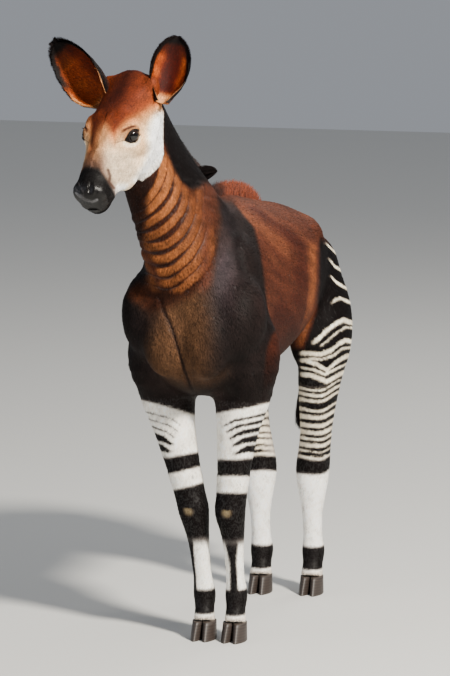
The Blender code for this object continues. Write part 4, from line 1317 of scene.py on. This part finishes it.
def make_coat(skin, rng):
    made = []
    where = region(skin.middle)
    free = ~bare(skin.middle)
    along, _, _ = head_places(skin.middle)
    for name, count in TUFTS.items():
        count = amount(count)
        length, width, lift = TUFT_SIZES[name]
        density = np.ones(len(skin.middle))
        if name == "face":
            density = 1 + 1.6 * step(0.10, 0.30, along)
        if name == "legs":
            density = 1 + 0.8 * step(0.30, 0.10, skin.middle[:, 2])
        roots, normals = skin.draw((where == name) & free, density, count, rng)
        size = rng.uniform(0.75, 1.25, count)
        if name == "face":
            a, _, _ = head_places(roots)
            size *= 1.15 - 0.65 * step(0.16, 0.36, a)
        if name == "legs":
            size *= 1.15 - 0.35 * step(0.40, 0.10, roots[:, 2])
        if name == "flank":
            size *= 1 + 0.35 * step(1.08, 1.15, roots[:, 2])
        way = lie(roots, normals)
        turn = rng.normal(0, 0.16, count)[:, None]
        side = np.cross(way, normals)
        way = way * np.cos(turn) + side * np.sin(turn)
        long = (length * size)[:, None]
        raised = (lift * size * rng.uniform(0.6, 1.5, count))[:, None]
        paths = np.stack([
            roots - normals * 0.0010,
            roots + way * long * 0.5 + normals * raised * 0.85,
            roots + way * long + normals * raised,
        ], 1)
        paths[:, 2] += np.cross(way, normals) * long * rng.normal(0, 0.10, count)[:, None]
        places = (roots, roots + way * long * 0.45, roots + way * long * 0.8)
        colours = np.stack([marks(place) for place in places], 1)
        spread = {"legs": 0.035, "face": 0.07, "crown": 0.09, "neck": 0.09}.get(name, 0.06)
        tone = 1 + spread * rng.normal(size=count) + 0.08 * ripple(roots @ STREAKS, 0.012, 40)
        colours = linear(np.clip(colours * np.clip(tone, 0.6, 1.4)[:, None, None], 2, 252))
        piece = ribbons("coat_" + name, paths, width * size * rng.uniform(0.8, 1.2, count), normals,
            colours,
                        1.10, 0.88, profile=SHORT_TUFT)
        made.append(piece)
    return made


def curved(roots, out, way, length, bend, rng, stations=6, sag=0.0, wander=0.10):
    """Paths that leave along out and bend towards way."""
    count = len(roots)
    shares = np.linspace(0, 1, stations)
    drift = rng.normal(0, wander, (count, 3))
    place = roots - out * 0.003
    paths = [place]
    for k in range(1, stations):
        t = shares[k - 1]
        turn = out * (1 - bend * t) + way * (bend * (0.3 + t)) + drift * t
        turn[:, 2] -= sag * t
        turn = unit(turn)
        place = place + turn * (length / (stations - 1))[:, None]
        paths.append(place)
    return np.stack(paths, 1)


def clumped(paths, groups, pull):
    """Draws the tips of a group of tufts together into one lock."""
    shares = np.linspace(0, 1, paths.shape[1]) ** 1.4
    for g in np.unique(groups):
        own = groups == g
        centre = paths[own].mean(axis=0)
        paths[own] += (centre[None] - paths[own]) * (shares * pull)[None, :, None]
    return paths


def amount(count):
    return int(count * (1))


def uneven(colours, spread, rng):
    """The colours with each tuft a little lighter or darker, as a shader reads them."""
    shades = 1 + spread * rng.normal(size=len(colours))
    return linear(np.clip(colours * shades[:, None], 3, 250))


def crest_at(back, numbers):
    """The first numbers of the crest's row at each place back: middle, half width and height."""
    path = curve_points(MANE, 10)
    return np.stack([np.interp(back, path[:, 1], path[:, k]) for k in range(numbers)], 1)


def crest_hair(name, low, high, count, length, lift, lean, width, colour, rng, spread=0.9, per_lock=38,
        least=0.65):
    """Hair along the crest between two places back, gathered into overlapping locks."""
    count = amount(count)
    back = rng.uniform(low, high, count)
    row = crest_at(back, 5)
    down = crest_at(back + 0.01, 3) - row[:, :3]
    down = unit(down)
    side = np.array((1.0, 0, 0)) - down * down[:, :1]
    side = unit(side)
    out = np.cross(side, down)
    out *= np.sign(out[:, 2:3])
    across = rng.normal(0, 0.55, count)
    row[:, 2] -= CREST_DROP * step(0.0, 0.08, back)
    rounding = np.sqrt(np.clip(1 - (across * spread * 0.6) ** 2, 0.1, 1))[:, None]
    roots = row[:, :3] + out * (row[:, 4:5] * 0.86 * rounding)
    roots = roots + side * (across * spread * row[:, 3])[:, None]
    start = out * lift + side * (across * 0.45)[:, None] + down * 0.25
    start = unit(start)
    size = length * rng.uniform(least, 1.15, count) * (0.75 + 0.25 * np.exp(-across**2))
    fade = np.minimum(1, np.minimum(back - low, high - back) / 0.03 * 0.6 + 0.4)
    paths = curved(roots, start, down, size * fade, lean, rng, wander=0.16)
    locks = ((back - low) / (high - low) * count / per_lock).astype(int) * 2 + (across > 0)
    paths = clumped(paths, locks, 0.60)
    shade = out * 0.6 + start * 0.6
    shade = unit(shade)
    faces = side * np.sign(across + 1e-6)[:, None] * 0.8 + out * 0.6
    colours = uneven(colour(back), 0.12, rng)
    widths = width * rng.uniform(0.7, 1.2, count)
    return ribbons(name, paths, widths, faces, colours, 1.2, 0.7, shade=shade)


def mane_end(rng):
    """The dark leaf-shaped lock at the end of the mane, fallen to the left."""
    count = amount(END_HAIRS)
    back = rng.uniform(-0.004, 0.026, count)
    row = crest_at(back, 5)
    roots = row[:, :3] + np.array((0.5, 0.0, 0.75)) * row[:, 4:5] + rng.normal(0, 0.003, (count, 3))
    start = unit(flat((0.70, 0.40, 0.55), count) + rng.normal(0, 0.22, (count, 3)))
    way = flat((0.90, 0.35, -0.15), count)
    length = END_LENGTH * rng.uniform(0.6, 1.05, count)
    paths = curved(roots, start, way, length, 0.7, rng, wander=0.08)
    paths = clumped(paths, np.zeros(count, int), 0.75)
    colours = uneven(flat(END_DARK, count), 0.15, rng)
    widths = 0.0028 * rng.uniform(0.7, 1.2, count)
    return ribbons("mane_end", paths, widths, flat((-0.2, -0.9, 0.4), count), colours)


def mane_colour(back):
    return lay(flat(HAIR_DARK, len(back)), (70, 40, 30), step(-0.05, 0.03, back))


def back_colour(back):
    return lay(flat(RIDGE_DARK, len(back)), (118, 60, 37), step(0.05, 0.14, back))


def short_paths(roots, out, way, length, sink, rises):
    """Paths of three stations that lie along way, a little above the skin."""
    middle, tip = rises
    length = length[:, None]
    return np.stack([
        roots - out * sink,
        roots + way * length * 0.5 + out * middle,
        roots + way * length + out * tip,
    ], 1)


def make_tail(rng):
    """The tail, its short hair, and the tassel in locks at its end."""
    bm = bmesh.new()
    limb(bm, [(x, y, z, r * TAIL_CORE, r * TAIL_CORE) for x, y, z, r in TAIL], steps=6)
    bmesh.ops.recalc_face_normals(bm, faces=bm.faces)
    bmesh.ops.triangulate(bm, faces=bm.faces[:])
    tail = new_object("tail_skin", bm)
    points, _ = arrays(tail.data)
    colours = lay(flat(TAIL_BROWN, len(points)), BLACK, step(0.68, 0.58, points[:, 2]))
    paint(tail.data, linear(colours))
    path, radius = curve_points([row[:3] for row in TAIL], 6), curve_points(TAIL, 6)[:, 3]
    count = amount(TAIL_HAIRS)
    at = rng.uniform(0.02, 0.80, count) * (len(path) - 1)
    low = at.astype(int)
    share = (at - low)[:, None]
    centre = path[low] * (1 - share) + path[low + 1] * share
    way = unit(path[low + 1] - path[low])
    angle = rng.uniform(0, 2 * math.pi, count)
    side = flat((1, 0, 0), count)
    side = unit(side - way * np.sum(side * way, axis=1)[:, None])
    out = side * np.cos(angle)[:, None] + np.cross(way, side) * np.sin(angle)[:, None]
    roots = centre + out * (np.interp(at, np.arange(len(radius)), radius) * 0.84)[:, None]
    length = 0.012 * rng.uniform(0.7, 1.3, count)
    paths = short_paths(roots, out, way, length, 0.001, (0.0016, 0.0018))
    colours = lay(flat(TAIL_HAIR, count), BLACK, step(0.70, 0.60, roots[:, 2]))
    colours = uneven(colours, 0.12, rng)
    short = ribbons("tail_coat", paths, np.full(count, 0.0022), out, colours, profile=SHORT_TUFT)
    count = amount(TASSEL_HAIRS)
    angle = rng.uniform(0, 2 * math.pi, count)
    height = rng.uniform(0.500, 0.600, count)
    centre = np.stack([np.interp(height, path[::-1, 2], path[::-1, k]) for k in range(3)], 1)
    out = np.stack([np.cos(angle), np.sin(angle), 0 * angle], 1)
    down = flat((0, 0, -1), count)
    length = np.clip((height - 0.42) * rng.uniform(0.75, 1.0, count), 0.05, 0.17)
    paths = curved(centre + out * 0.009, unit(out * 0.35 + down), down, length, 0.8, rng, stations=8,
        wander=0.07)
    groups = (angle / (2 * math.pi) * 9).astype(int) * 4 + ((height - 0.5) / 0.026).astype(int)
    paths = clumped(paths, groups, 0.55)
    colours = uneven(flat(HAIR_DARK, count), 0.2, rng)
    tassel = ribbons("tail_tassel", paths, 0.0026 * rng.uniform(0.7, 1.2, count), out, colours, 1.3, 0.7)
    return [tail, short, tassel]


def ear_grid(name, rows, columns):
    """Places of the ear's middle surface and the way that its inside faces."""
    root, out, faces, length, half_wide = EARS[name]
    base = np.array(on_head(*root))
    out = np.array(Vector(out).normalized())
    faces = np.array(faces)
    faces = faces - out * (faces @ out)
    faces /= np.linalg.norm(faces)
    across = np.cross(out, faces)
    t = np.linspace(0, 1, rows)[:, None]
    s = np.linspace(-1, 1, columns)[None, :]
    length, half_wide = length * EAR_TRIM[name][0], half_wide * EAR_TRIM[name][1]
    wide = half_wide * np.interp(t, EAR_OUTLINE[0], EAR_OUTLINE[1])
    cup = np.radians(150 - 112 * t**0.55)
    angle = cup * s
    radius = wide / np.maximum(np.sin(np.minimum(cup, math.pi / 2)), 0.3)
    place = base + (length * (t - 0.10) * np.ones_like(s))[..., None] * out
    place = (
        place + (np.sin(angle) * radius)[..., None] * across
        + ((1 - np.cos(angle)) * radius)[..., None] * faces
    )
    place = place - (EAR_BOW * np.sin(math.pi * t) * np.ones_like(s))[..., None] * faces
    du, dv = np.gradient(place, axis=0), np.gradient(place, axis=1)
    normal = np.cross(du, dv)
    normal = unit(normal)
    normal *= np.sign(np.sum(normal[rows // 2, columns // 2] * faces))
    return place, normal, t * np.ones_like(s), s * np.ones_like(t), out, faces, across


def ear_colours(name, t, s, inside, wave):
    """Colours over an ear: t from root to tip, s from one edge to the other."""
    t, s = t.ravel(), s.ravel()
    shaded, shift = (0.97, 0.0) if name == "ear_left" else (0.60, INNER_EDGE * 0.45)
    edge = np.abs(s)
    if inside:
        put = Layers((138, 64, 24), len(t))
        put((164, 88, 38), step(0.1, 0.9, wave) * 0.6)
        # painted shade deep in the cup: a dark maroon band down the middle and over the upper part, weaker
        # and nearer the inner edge on the right ear
        put((56, 14, 7), np.exp(-(((s - shift - 0.08 * wave) / 0.42) ** 4)) * step(0.03, 0.20, t) * shaded)
        put((44, 14, 9), step(0.66, 0.80, t + 0.04 * wave) * (shaded - 0.15))
        put((198, 150, 104), step(0.16, 0.05, t) * 0.8)
        pale, dark = (0.8, (0.42, 0.62)) if name == "ear_right" else (0.35, (0.16, 0.36))
        put((196, 146, 98), step(0.84, 0.93, edge) * step(0.50, 0.30, t) * pale)
        put(BLACK, step(0.70, 0.88, edge + 0.04 * wave) * step(*dark, t))
        put(BLACK, step(0.82, 0.92, t + 0.03 * wave))
        return put.now
    put = Layers((46, 26, 20), len(t))
    put((84, 42, 28), step(0.30, 0.05, t))
    put(BLACK, step(0.35, 0.65, t))
    put(BLACK, step(0.70, 0.92, edge) * 0.9)
    return put.now


def between(grid, t, s):
    """Values of the ear's grid at shares t from root to tip and s from one edge to the other."""
    rows, columns = grid.shape[:2]
    i, j = t * (rows - 1), (s + 1) / 2 * (columns - 1)
    i0, j0 = np.minimum(i.astype(int), rows - 2), np.minimum(j.astype(int), columns - 2)
    fi, fj = (i - i0)[:, None], (j - j0)[:, None]
    near = grid[i0, j0] * (1 - fi) + grid[i0 + 1, j0] * fi
    far = grid[i0, j0 + 1] * (1 - fi) + grid[i0 + 1, j0 + 1] * fi
    return near * (1 - fj) + far * fj


def ear_shell(name, grid):
    """The ear's wall: an inside and an outside face joined round the rim."""
    place, normal, t, s = grid[:4]
    rows, columns = t.shape
    wall = 0.0018 * (1 - 0.6 * step(0.85, 1.0, np.abs(s))) * (1 - 0.5 * step(0.9, 1.0, t))
    sides = (place + normal * wall[..., None], place - normal * wall[..., None])
    index = np.arange(rows * columns).reshape(rows, columns)
    a, b, c, d = (corner.ravel() for corner in (index[:-1, :-1], index[:-1, 1:], index[1:, 1:],
        index[1:, :-1]))
    front = np.concatenate([np.stack([a, b, c], 1), np.stack([a, c, d], 1)])
    shift = rows * columns
    edge = np.concatenate([index[0, :], index[1:, -1], index[-1, -2::-1], index[-2:0:-1, 0]])
    after = np.roll(edge, -1)
    rim = [np.stack([edge, edge + shift, after + shift], 1), np.stack([edge, after + shift, after], 1)]
    faces = np.concatenate([front, front[:, ::-1] + shift, *rim])
    points = np.concatenate([side.reshape(-1, 3) for side in sides])
    shell = tri_mesh(name.replace("ear", "ear_shell"), points, faces)
    bm = bmesh.new()
    bm.from_mesh(shell.data)
    bmesh.ops.recalc_face_normals(bm, faces=bm.faces)
    bm.to_mesh(shell.data)
    bm.free()
    wave = ripple(place.reshape(-1, 3), 0.02, 31)
    colours = [ear_colours(name, t, s, inside, wave) for inside in (True, False)]
    paint(shell.data, linear(np.concatenate(colours)))
    return shell


def ear_hair(name, grid, inside, rng):
    """Short hair on one face of an ear."""
    place, normal, _, _, out, _, across = grid
    count = amount(EAR_HAIRS)
    long, sign, fan, label = (0.010, 1, 1, "ear_hair_in") if inside else (0.008, -1, 0.3, "ear_hair_out")
    t, s = rng.uniform(0.04, 0.985, count), rng.uniform(-0.985, 0.985, count)
    centre, facing = between(place, t, s), between(normal, t, s) * sign
    roots = centre + facing * 0.0012
    way = out[None] + across[None] * (0.75 * s)[:, None] * fan + rng.normal(0, 0.15, (count, 3))
    way = unit(way - facing * np.sum(way * facing, axis=1)[:, None])
    length = long * rng.uniform(0.7, 1.3, count) * (1 - 0.4 * step(0.8, 1.0, t))
    paths = short_paths(roots, facing, way, length, 0.0006, (0.0012, 0.0014))
    colours = uneven(ear_colours(name, t, s, inside, ripple(roots, 0.02, 31)), 0.14, rng)
    widths = 0.0019 * rng.uniform(0.8, 1.2, count)
    return ribbons(name.replace("ear", label), paths, widths, facing, colours, 1.15, 0.8,
        profile=SHORT_TUFT)


def ear_fringe(name, grid, rng):
    """Longer hair that stands out round the ear's edge."""
    place, normal, _, _, out = grid[:5]
    rows, columns = place.shape[:2]
    count = amount(FRINGE_HAIRS)
    t = rng.uniform(0.10, 1.0, count)
    s = np.where(rng.random(count) < 0.5, 1.0, -1.0)
    top = rng.random(count) < 0.22
    t = np.where(top, 0.985, t)
    s = np.where(top, rng.uniform(-1, 1, count), s * rng.uniform(0.93, 1.0, count))
    centre, facing = between(place, t, s), between(normal, t, s)
    row = np.minimum((t * (rows - 1)).astype(int), rows - 2)
    away = unit(centre - place[row, np.full(count, columns // 2)], 1e-6)
    start = away * np.where(top, 0.3, 0.8)[:, None] + out[None] * np.where(top, 1.0, 0.75)[:, None]
    start = unit(start + rng.normal(0, 0.10, (count, 3)))
    tip = 0.012 if name == "ear_left" else 0.020
    length = np.interp(t, (0.1, 0.4, 0.8, 1.0), (0.008, 0.012, 0.013, tip)) * rng.uniform(0.6, 1.15, count)
    paths = curved(centre, start, flat(out, count), length, 0.5, rng, stations=4, wander=0.12)
    colours = lay(flat(FRINGE_PALE, count), (26, 19, 19), step(0.25, 0.45, t))
    colours = uneven(colours, 0.15, rng)
    widths = 0.0016 * rng.uniform(0.7, 1.2, count)
    return ribbons(name.replace("ear", "ear_fringe"), paths, widths, facing, colours, 1.1, 0.8)


def make_ear(name, rng):
    """An ear's shell, its short hair inside and outside, and its fringe."""
    grid = ear_grid(name, *EAR_GRID)
    shell = ear_shell(name, grid)
    hair = [ear_hair(name, grid, inside, rng) for inside in (True, False)]
    return [shell, *hair, ear_fringe(name, grid, rng)]


def make_eye(name, way):
    out, long, high = eye_axes(way)
    centre = eye_centre(way)
    bm = bmesh.new()
    turn = Matrix((long, high, out)).transposed().to_4x4()
    bmesh.ops.create_uvsphere(bm, u_segments=64, v_segments=48, radius=EYE_RADIUS - 0.0004,
        matrix=Matrix.Translation(centre) @ turn)
    eye = new_object(name, bm)
    points, _ = arrays(eye.data)
    away = (points - np.array(centre)) / EYE_RADIUS
    a, u, o = away @ np.array(long), away @ np.array(high), away @ np.array(out)
    ring = np.hypot(a, u)
    put = Layers((30, 22, 20), len(points))
    iris = step(0.86, 0.80, ring) * (o > 0)
    put((26, 15, 10), iris)
    put((48, 27, 15), iris * np.exp(-(((ring - 0.66) / 0.10) ** 2)) * 0.7)
    pupil = np.hypot(a / 0.58, u / 0.34)
    put((6, 5, 6), step(1.08, 0.92, pupil) * (o > 0))
    paint(eye.data, linear(put.now))
    return eye


def make_lashes(rng):
    roots, outs, ways, sizes = [], [], [], []
    for way in (1, -1):
        out, long, high = (np.array(v) for v in eye_axes(way))
        high = high * -way
        centre = np.array(eye_centre(way))
        for row, count, size in ((1, 170, 0.013), (-1, 40, 0.005)):
            a = np.linspace(-0.0182, 0.0182, count) + rng.normal(0, 0.0003, count)
            u = row * (0.0142 * np.sqrt(np.clip(1 - (a / 0.0188) ** 2, 0.02, 1)) + 0.0006)
            o = np.sqrt(np.clip((EYE_RADIUS + 0.0018) ** 2 - a**2 - u**2, 1e-6, 1))
            roots.append(centre + a[:, None] * long + u[:, None] * high + o[:, None] * out)
            start = out * 1.0 + high * (0.15 * row) + long * (a / 0.0175 * 0.35)[:, None]
            outs.append(unit(start))
            ways.append(np.tile(high * row * 0.9 + out * 0.3, (count, 1)))
            sizes.append(size * rng.uniform(0.7, 1.1, count))
    roots, outs, ways, sizes = map(np.concatenate, (roots, outs, ways, sizes))
    paths = curved(roots, outs, ways, sizes, 0.7, rng, stations=5, wander=0.08)
    colours = np.tile(linear((16, 12, 12)), (len(roots), 1))
    return ribbons("lashes", paths, np.full(len(roots), 0.0007), ways, colours,
        profile=(1.0, 0.9, 0.7, 0.4, 0.0))


def make_hoof(name, x, y):
    """A cloven hoof: two claws with a soft heel, smoother than the solid one."""
    bm = bmesh.new()
    for way in (1, -1):
        rings = []
        for share, height in ((0.0, 0.0002), (0.03, 0.0016), (0.12, 0.005), (0.35, 0.017),
                (0.6, 0.029), (0.85, 0.041), (1.0, 0.0495)):
            front = y - HOOF_LENGTH * (0.615 - 0.25 * share)
            rear = y + HOOF_LENGTH * (0.375 - 0.02 * share)
            wide = CLAW_WIDTH * (0.51 if share > 0.02 else 0.485)
            middle_x = x + way * CLAW_WIDTH * (0.52 - 0.06 * share)
            ring = []
            for i in range(40):
                angle = 2 * math.pi * i / 40
                c, s = math.cos(angle), math.sin(angle)
                place = (front + rear) / 2 - (rear - front) / 2 * c
                narrow = 1 - 0.30 * max(c, 0) ** 2
                ring.append(Vector((middle_x + wide * s * narrow * 0.97 - way * 0.002 * max(c, 0),
                    place, height)))
            rings.append(ring)
        loft(bm, rings)
    place = Matrix.Translation((x, y + HOOF_LENGTH * 0.20, 0.030)) @ Matrix.Diagonal((0.0155, 0.0175,
        0.0168, 1))
    bmesh.ops.create_icosphere(bm, subdivisions=3, radius=1, matrix=place)
    bmesh.ops.recalc_face_normals(bm, faces=bm.faces)
    bmesh.ops.triangulate(bm, faces=bm.faces[:])
    hoof = new_object(name, bm)
    for polygon in hoof.data.polygons:
        polygon.use_smooth = abs(polygon.normal.z) < 0.9
    return hoof


def add_node(tree, kind, inputs=(), **settings):
    """A new node with these settings and these values on its inputs."""
    node = tree.nodes.new("ShaderNode" + kind)
    for key, value in settings.items():
        setattr(node, key, value)
    for key, value in dict(inputs).items():
        node.inputs[key].default_value = value
    return node


def connect(tree, *pairs):
    for source, target in pairs:
        tree.links.new(source, target)


def new_material(name, inputs):
    """A material, its nodes and its shader with these values."""
    made = bpy.data.materials.new(name)
    made.use_nodes = True
    shader = made.node_tree.nodes["Principled BSDF"]
    for key, value in inputs.items():
        shader.inputs[key].default_value = value
    return made, made.node_tree, shader.inputs


def grain_group():
    """Fine uneven tone and height, shared by skin, hair and eyes."""
    group = bpy.data.node_groups.new("grain", "ShaderNodeTree")
    for name, way, kind in (
        ("Colour", "INPUT", "Color"), ("Size", "INPUT", "Float"), ("Amount", "INPUT", "Float"),
        ("Colour", "OUTPUT", "Color"), ("Height", "OUTPUT", "Float"),
    ):
        group.interface.new_socket(name, in_out=way, socket_type="NodeSocket" + kind)
    given, put = group.nodes.new("NodeGroupInput").outputs, group.nodes.new("NodeGroupOutput").inputs
    place = add_node(group, "TexCoord")
    noise = add_node(group, "TexNoise", {"Detail": 4})
    spread = add_node(group, "MapRange", {"From Min": 0.3, "From Max": 0.7})
    tone = add_node(group, "Mix", data_type="RGBA", blend_type="OVERLAY")
    connect(
        group,
        (place.outputs["Object"], noise.inputs["Vector"]),
        (given["Size"], noise.inputs["Scale"]),
        (noise.outputs["Fac"], spread.inputs["Value"]),
        (given["Amount"], tone.inputs[0]),
        (given["Colour"], tone.inputs[6]),
        (spread.outputs["Result"], tone.inputs[7]),
        (tone.outputs[2], put["Colour"]),
        (spread.outputs["Result"], put["Height"]),
    )
    return group


def raise_by(tree, height, shader, strength):
    """Bump from a height on the shader's normal."""
    raised = add_node(tree, "Bump", {"Strength": strength, "Distance": 0.001})
    connect(tree, (height, raised.inputs["Height"]), (raised.outputs["Normal"], shader["Normal"]))


def hide_material(name, group):
    """The stored colours with fine grain, and bump where the look has it."""
    size, spread, roughness, bump, specular, coat = LOOKS[name]
    made, tree, shader = new_material(name, {
        "Roughness": roughness, "Specular IOR Level": specular, "Coat Weight": coat, "Coat Roughness": 0.05,
    })
    colour = add_node(tree, "VertexColor", layer_name="hide")
    grain = add_node(tree, "Group", node_tree=group)
    grain.inputs["Size"].default_value = size
    grain.inputs["Amount"].default_value = spread
    connect(
        tree,
        (colour.outputs["Color"], grain.inputs["Colour"]),
        (grain.outputs["Colour"], shader["Base Color"]),
    )
    if bump:
        raise_by(tree, grain.outputs["Height"], shader, bump)
    return made


def skin_material(group):
    """Hide with a wetter, smoother look where the nose is."""
    made = hide_material("hide", group)
    tree = made.node_tree
    wet = add_node(tree, "Attribute", attribute_name="wet")
    spread = add_node(tree, "MapRange", {"To Min": LOOKS["hide"][2], "To Max": WET_ROUGHNESS})
    shader = tree.nodes["Principled BSDF"].inputs
    connect(tree, (wet.outputs["Fac"], spread.inputs["Value"]),
        (spread.outputs["Result"], shader["Roughness"]))
    return made


def horn_material():
    """Dark horn with faint rings of growth."""
    made, tree, shader = new_material("horn", {"Roughness": 0.5})
    place = add_node(tree, "TexCoord")
    waves = {"Scale": 42, "Distortion": 1.6, "Detail": 2}
    rings = add_node(tree, "TexWave", waves, bands_direction="Z")
    tone = add_node(tree, "Mix", data_type="RGBA")
    tone.inputs[6].default_value, tone.inputs[7].default_value = HORN_TONES
    connect(
        tree,
        (place.outputs["Object"], rings.inputs["Vector"]),
        (rings.outputs["Fac"], tone.inputs[0]),
        (tone.outputs[2], shader["Base Color"]),
    )
    raise_by(tree, rings.outputs["Fac"], shader, 0.08)
    return made


def dress(obj, material, nodes=()):
    obj.data.materials.clear()
    obj.data.materials.append(material)
    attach(obj, "root")
    if nodes:
        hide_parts(*nodes)


def make_stage(shift):
    """A pale floor, soft studio light and the camera."""
    bm = bmesh.new()
    bmesh.ops.create_grid(bm, x_segments=1, y_segments=1, size=14)
    floor = new_object("floor", bm)
    look, _, _ = new_material("pale floor", {"Base Color": FLOOR_TONE, "Roughness": 0.8})
    floor.data.materials.append(look)
    scene = bpy.context.scene
    scene.world = bpy.data.worlds.new("studio")
    scene.world.use_nodes = True
    sky = scene.world.node_tree.nodes["Background"].inputs
    sky["Color"].default_value, sky["Strength"].default_value = SKY
    aim = Vector(AIM) + shift
    for name, place, size, power, colour in LAMPS:
        lamp = bpy.data.lights.new(name, "AREA")
        lamp.shape, lamp.size, lamp.energy, lamp.color = "DISK", size, power, colour
        obj = bpy.data.objects.new(name, lamp)
        scene.collection.objects.link(obj)
        obj.location = place
        obj.rotation_euler = (aim - Vector(place)).to_track_quat("-Z", "Y").to_euler()
    camera = bpy.data.cameras.new("camera")
    camera.sensor_width = SENSOR
    camera.lens = SCALE * DISTANCE / PICTURE[1] * SENSOR
    obj = bpy.data.objects.new("camera", camera)
    scene.collection.objects.link(obj)
    _, ahead, _ = view_axes()
    obj.location = aim - Vector(ahead) * DISTANCE
    obj.rotation_euler = Vector(ahead).to_track_quat("-Z", "Y").to_euler()
    scene.camera = obj


def smooth(obj):
    obj.data.polygons.foreach_set("use_smooth", np.ones(len(obj.data.polygons), bool))


def dressed_skin():
    """The skin's two halves with their colours and the mask of the wet nose."""
    whole = make_skin()
    halves = split_skin(whole)
    bpy.data.objects.remove(whole, do_unlink=True)
    for piece in halves:
        points, _ = arrays(piece.data)
        paint(piece.data, linear(marks(points)))
        layer = piece.data.attributes.new("wet", "FLOAT", "POINT")
        along, _, up = head_places(points)
        wet = in_head(points) * step(0.350, 0.372, along) * step(-0.125, -0.105, up)
        layer.data.foreach_set("value", wet.astype(np.float32))
        smooth(piece)
    return halves


def front_roots(points):
    """True where tufts grow on the front half of the skin, and not on the other."""
    return (points[:, 1] < HALVES_MEET[0]) & (points[:, 2] > HALVES_MEET[1])


def main():
    rng = np.random.default_rng(SEED)
    low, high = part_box("eye_left")
    shift = (low + high) / 2 - eye_centre(1)
    front, body = dressed_skin()
    coat = make_coat(Skin([(front, front_roots), (body, lambda points: ~front_roots(points))]), rng)
    mane = [
        crest_hair("mane", -0.235, 0.030, MANE_HAIRS, 0.040, 1.3, 0.55, 0.0024, mane_colour, rng),
        mane_end(rng),
        crest_hair("back_hair", 0.050, 0.400, BACK_HAIRS, 0.056, 1.7, 0.30, 0.0017, back_colour, rng,
            1.2, 14, 0.15),
    ]
    tail = make_tail(rng)
    ears = {name: make_ear(name, rng) for name in EARS}
    eyes = {"eye_" + side: make_eye("eye_%s_globe" % side, way) for side,
        way in (("left", 1), ("right", -1))}
    lashes = make_lashes(rng)
    hooves = {}
    for leg in LEGS:
        name = leg.replace("leg_", "_hoof_")
        hooves[name] = make_hoof(name + "_horn", *leg_rows(leg)[-1][:2])
    pieces = [front, body, lashes, *coat, *mane, *tail, *sum(ears.values(), [])]
    for piece in (*pieces, *eyes.values(), *hooves.values()):
        piece.data.transform(Matrix.Translation(shift))
    grain = grain_group()
    hide, horn = skin_material(grain), horn_material()
    short, long, eye = (hide_material(name, grain) for name in ("short coat", "long hair", "eye"))
    flesh = [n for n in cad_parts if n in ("neck", "torso") or n.endswith(("upper", "lower"))]
    dress(front, hide, ["head"])
    dress(body, hide, flesh)
    for piece in coat:
        dress(piece, short)
    for piece in mane:
        dress(piece, long)
    dress(tail[0], hide, ["tail"])
    dress(tail[1], short)
    dress(tail[2], long)
    for name, pieces in ears.items():
        dress(pieces[0], hide, [name])
        for piece in pieces[1:]:
            dress(piece, long)
    for name, globe in eyes.items():
        dress(globe, eye, [name])
        smooth(globe)
    dress(lashes, long)
    for name, hoof in hooves.items():
        dress(hoof, horn, [name])
    make_stage(shift)


main()
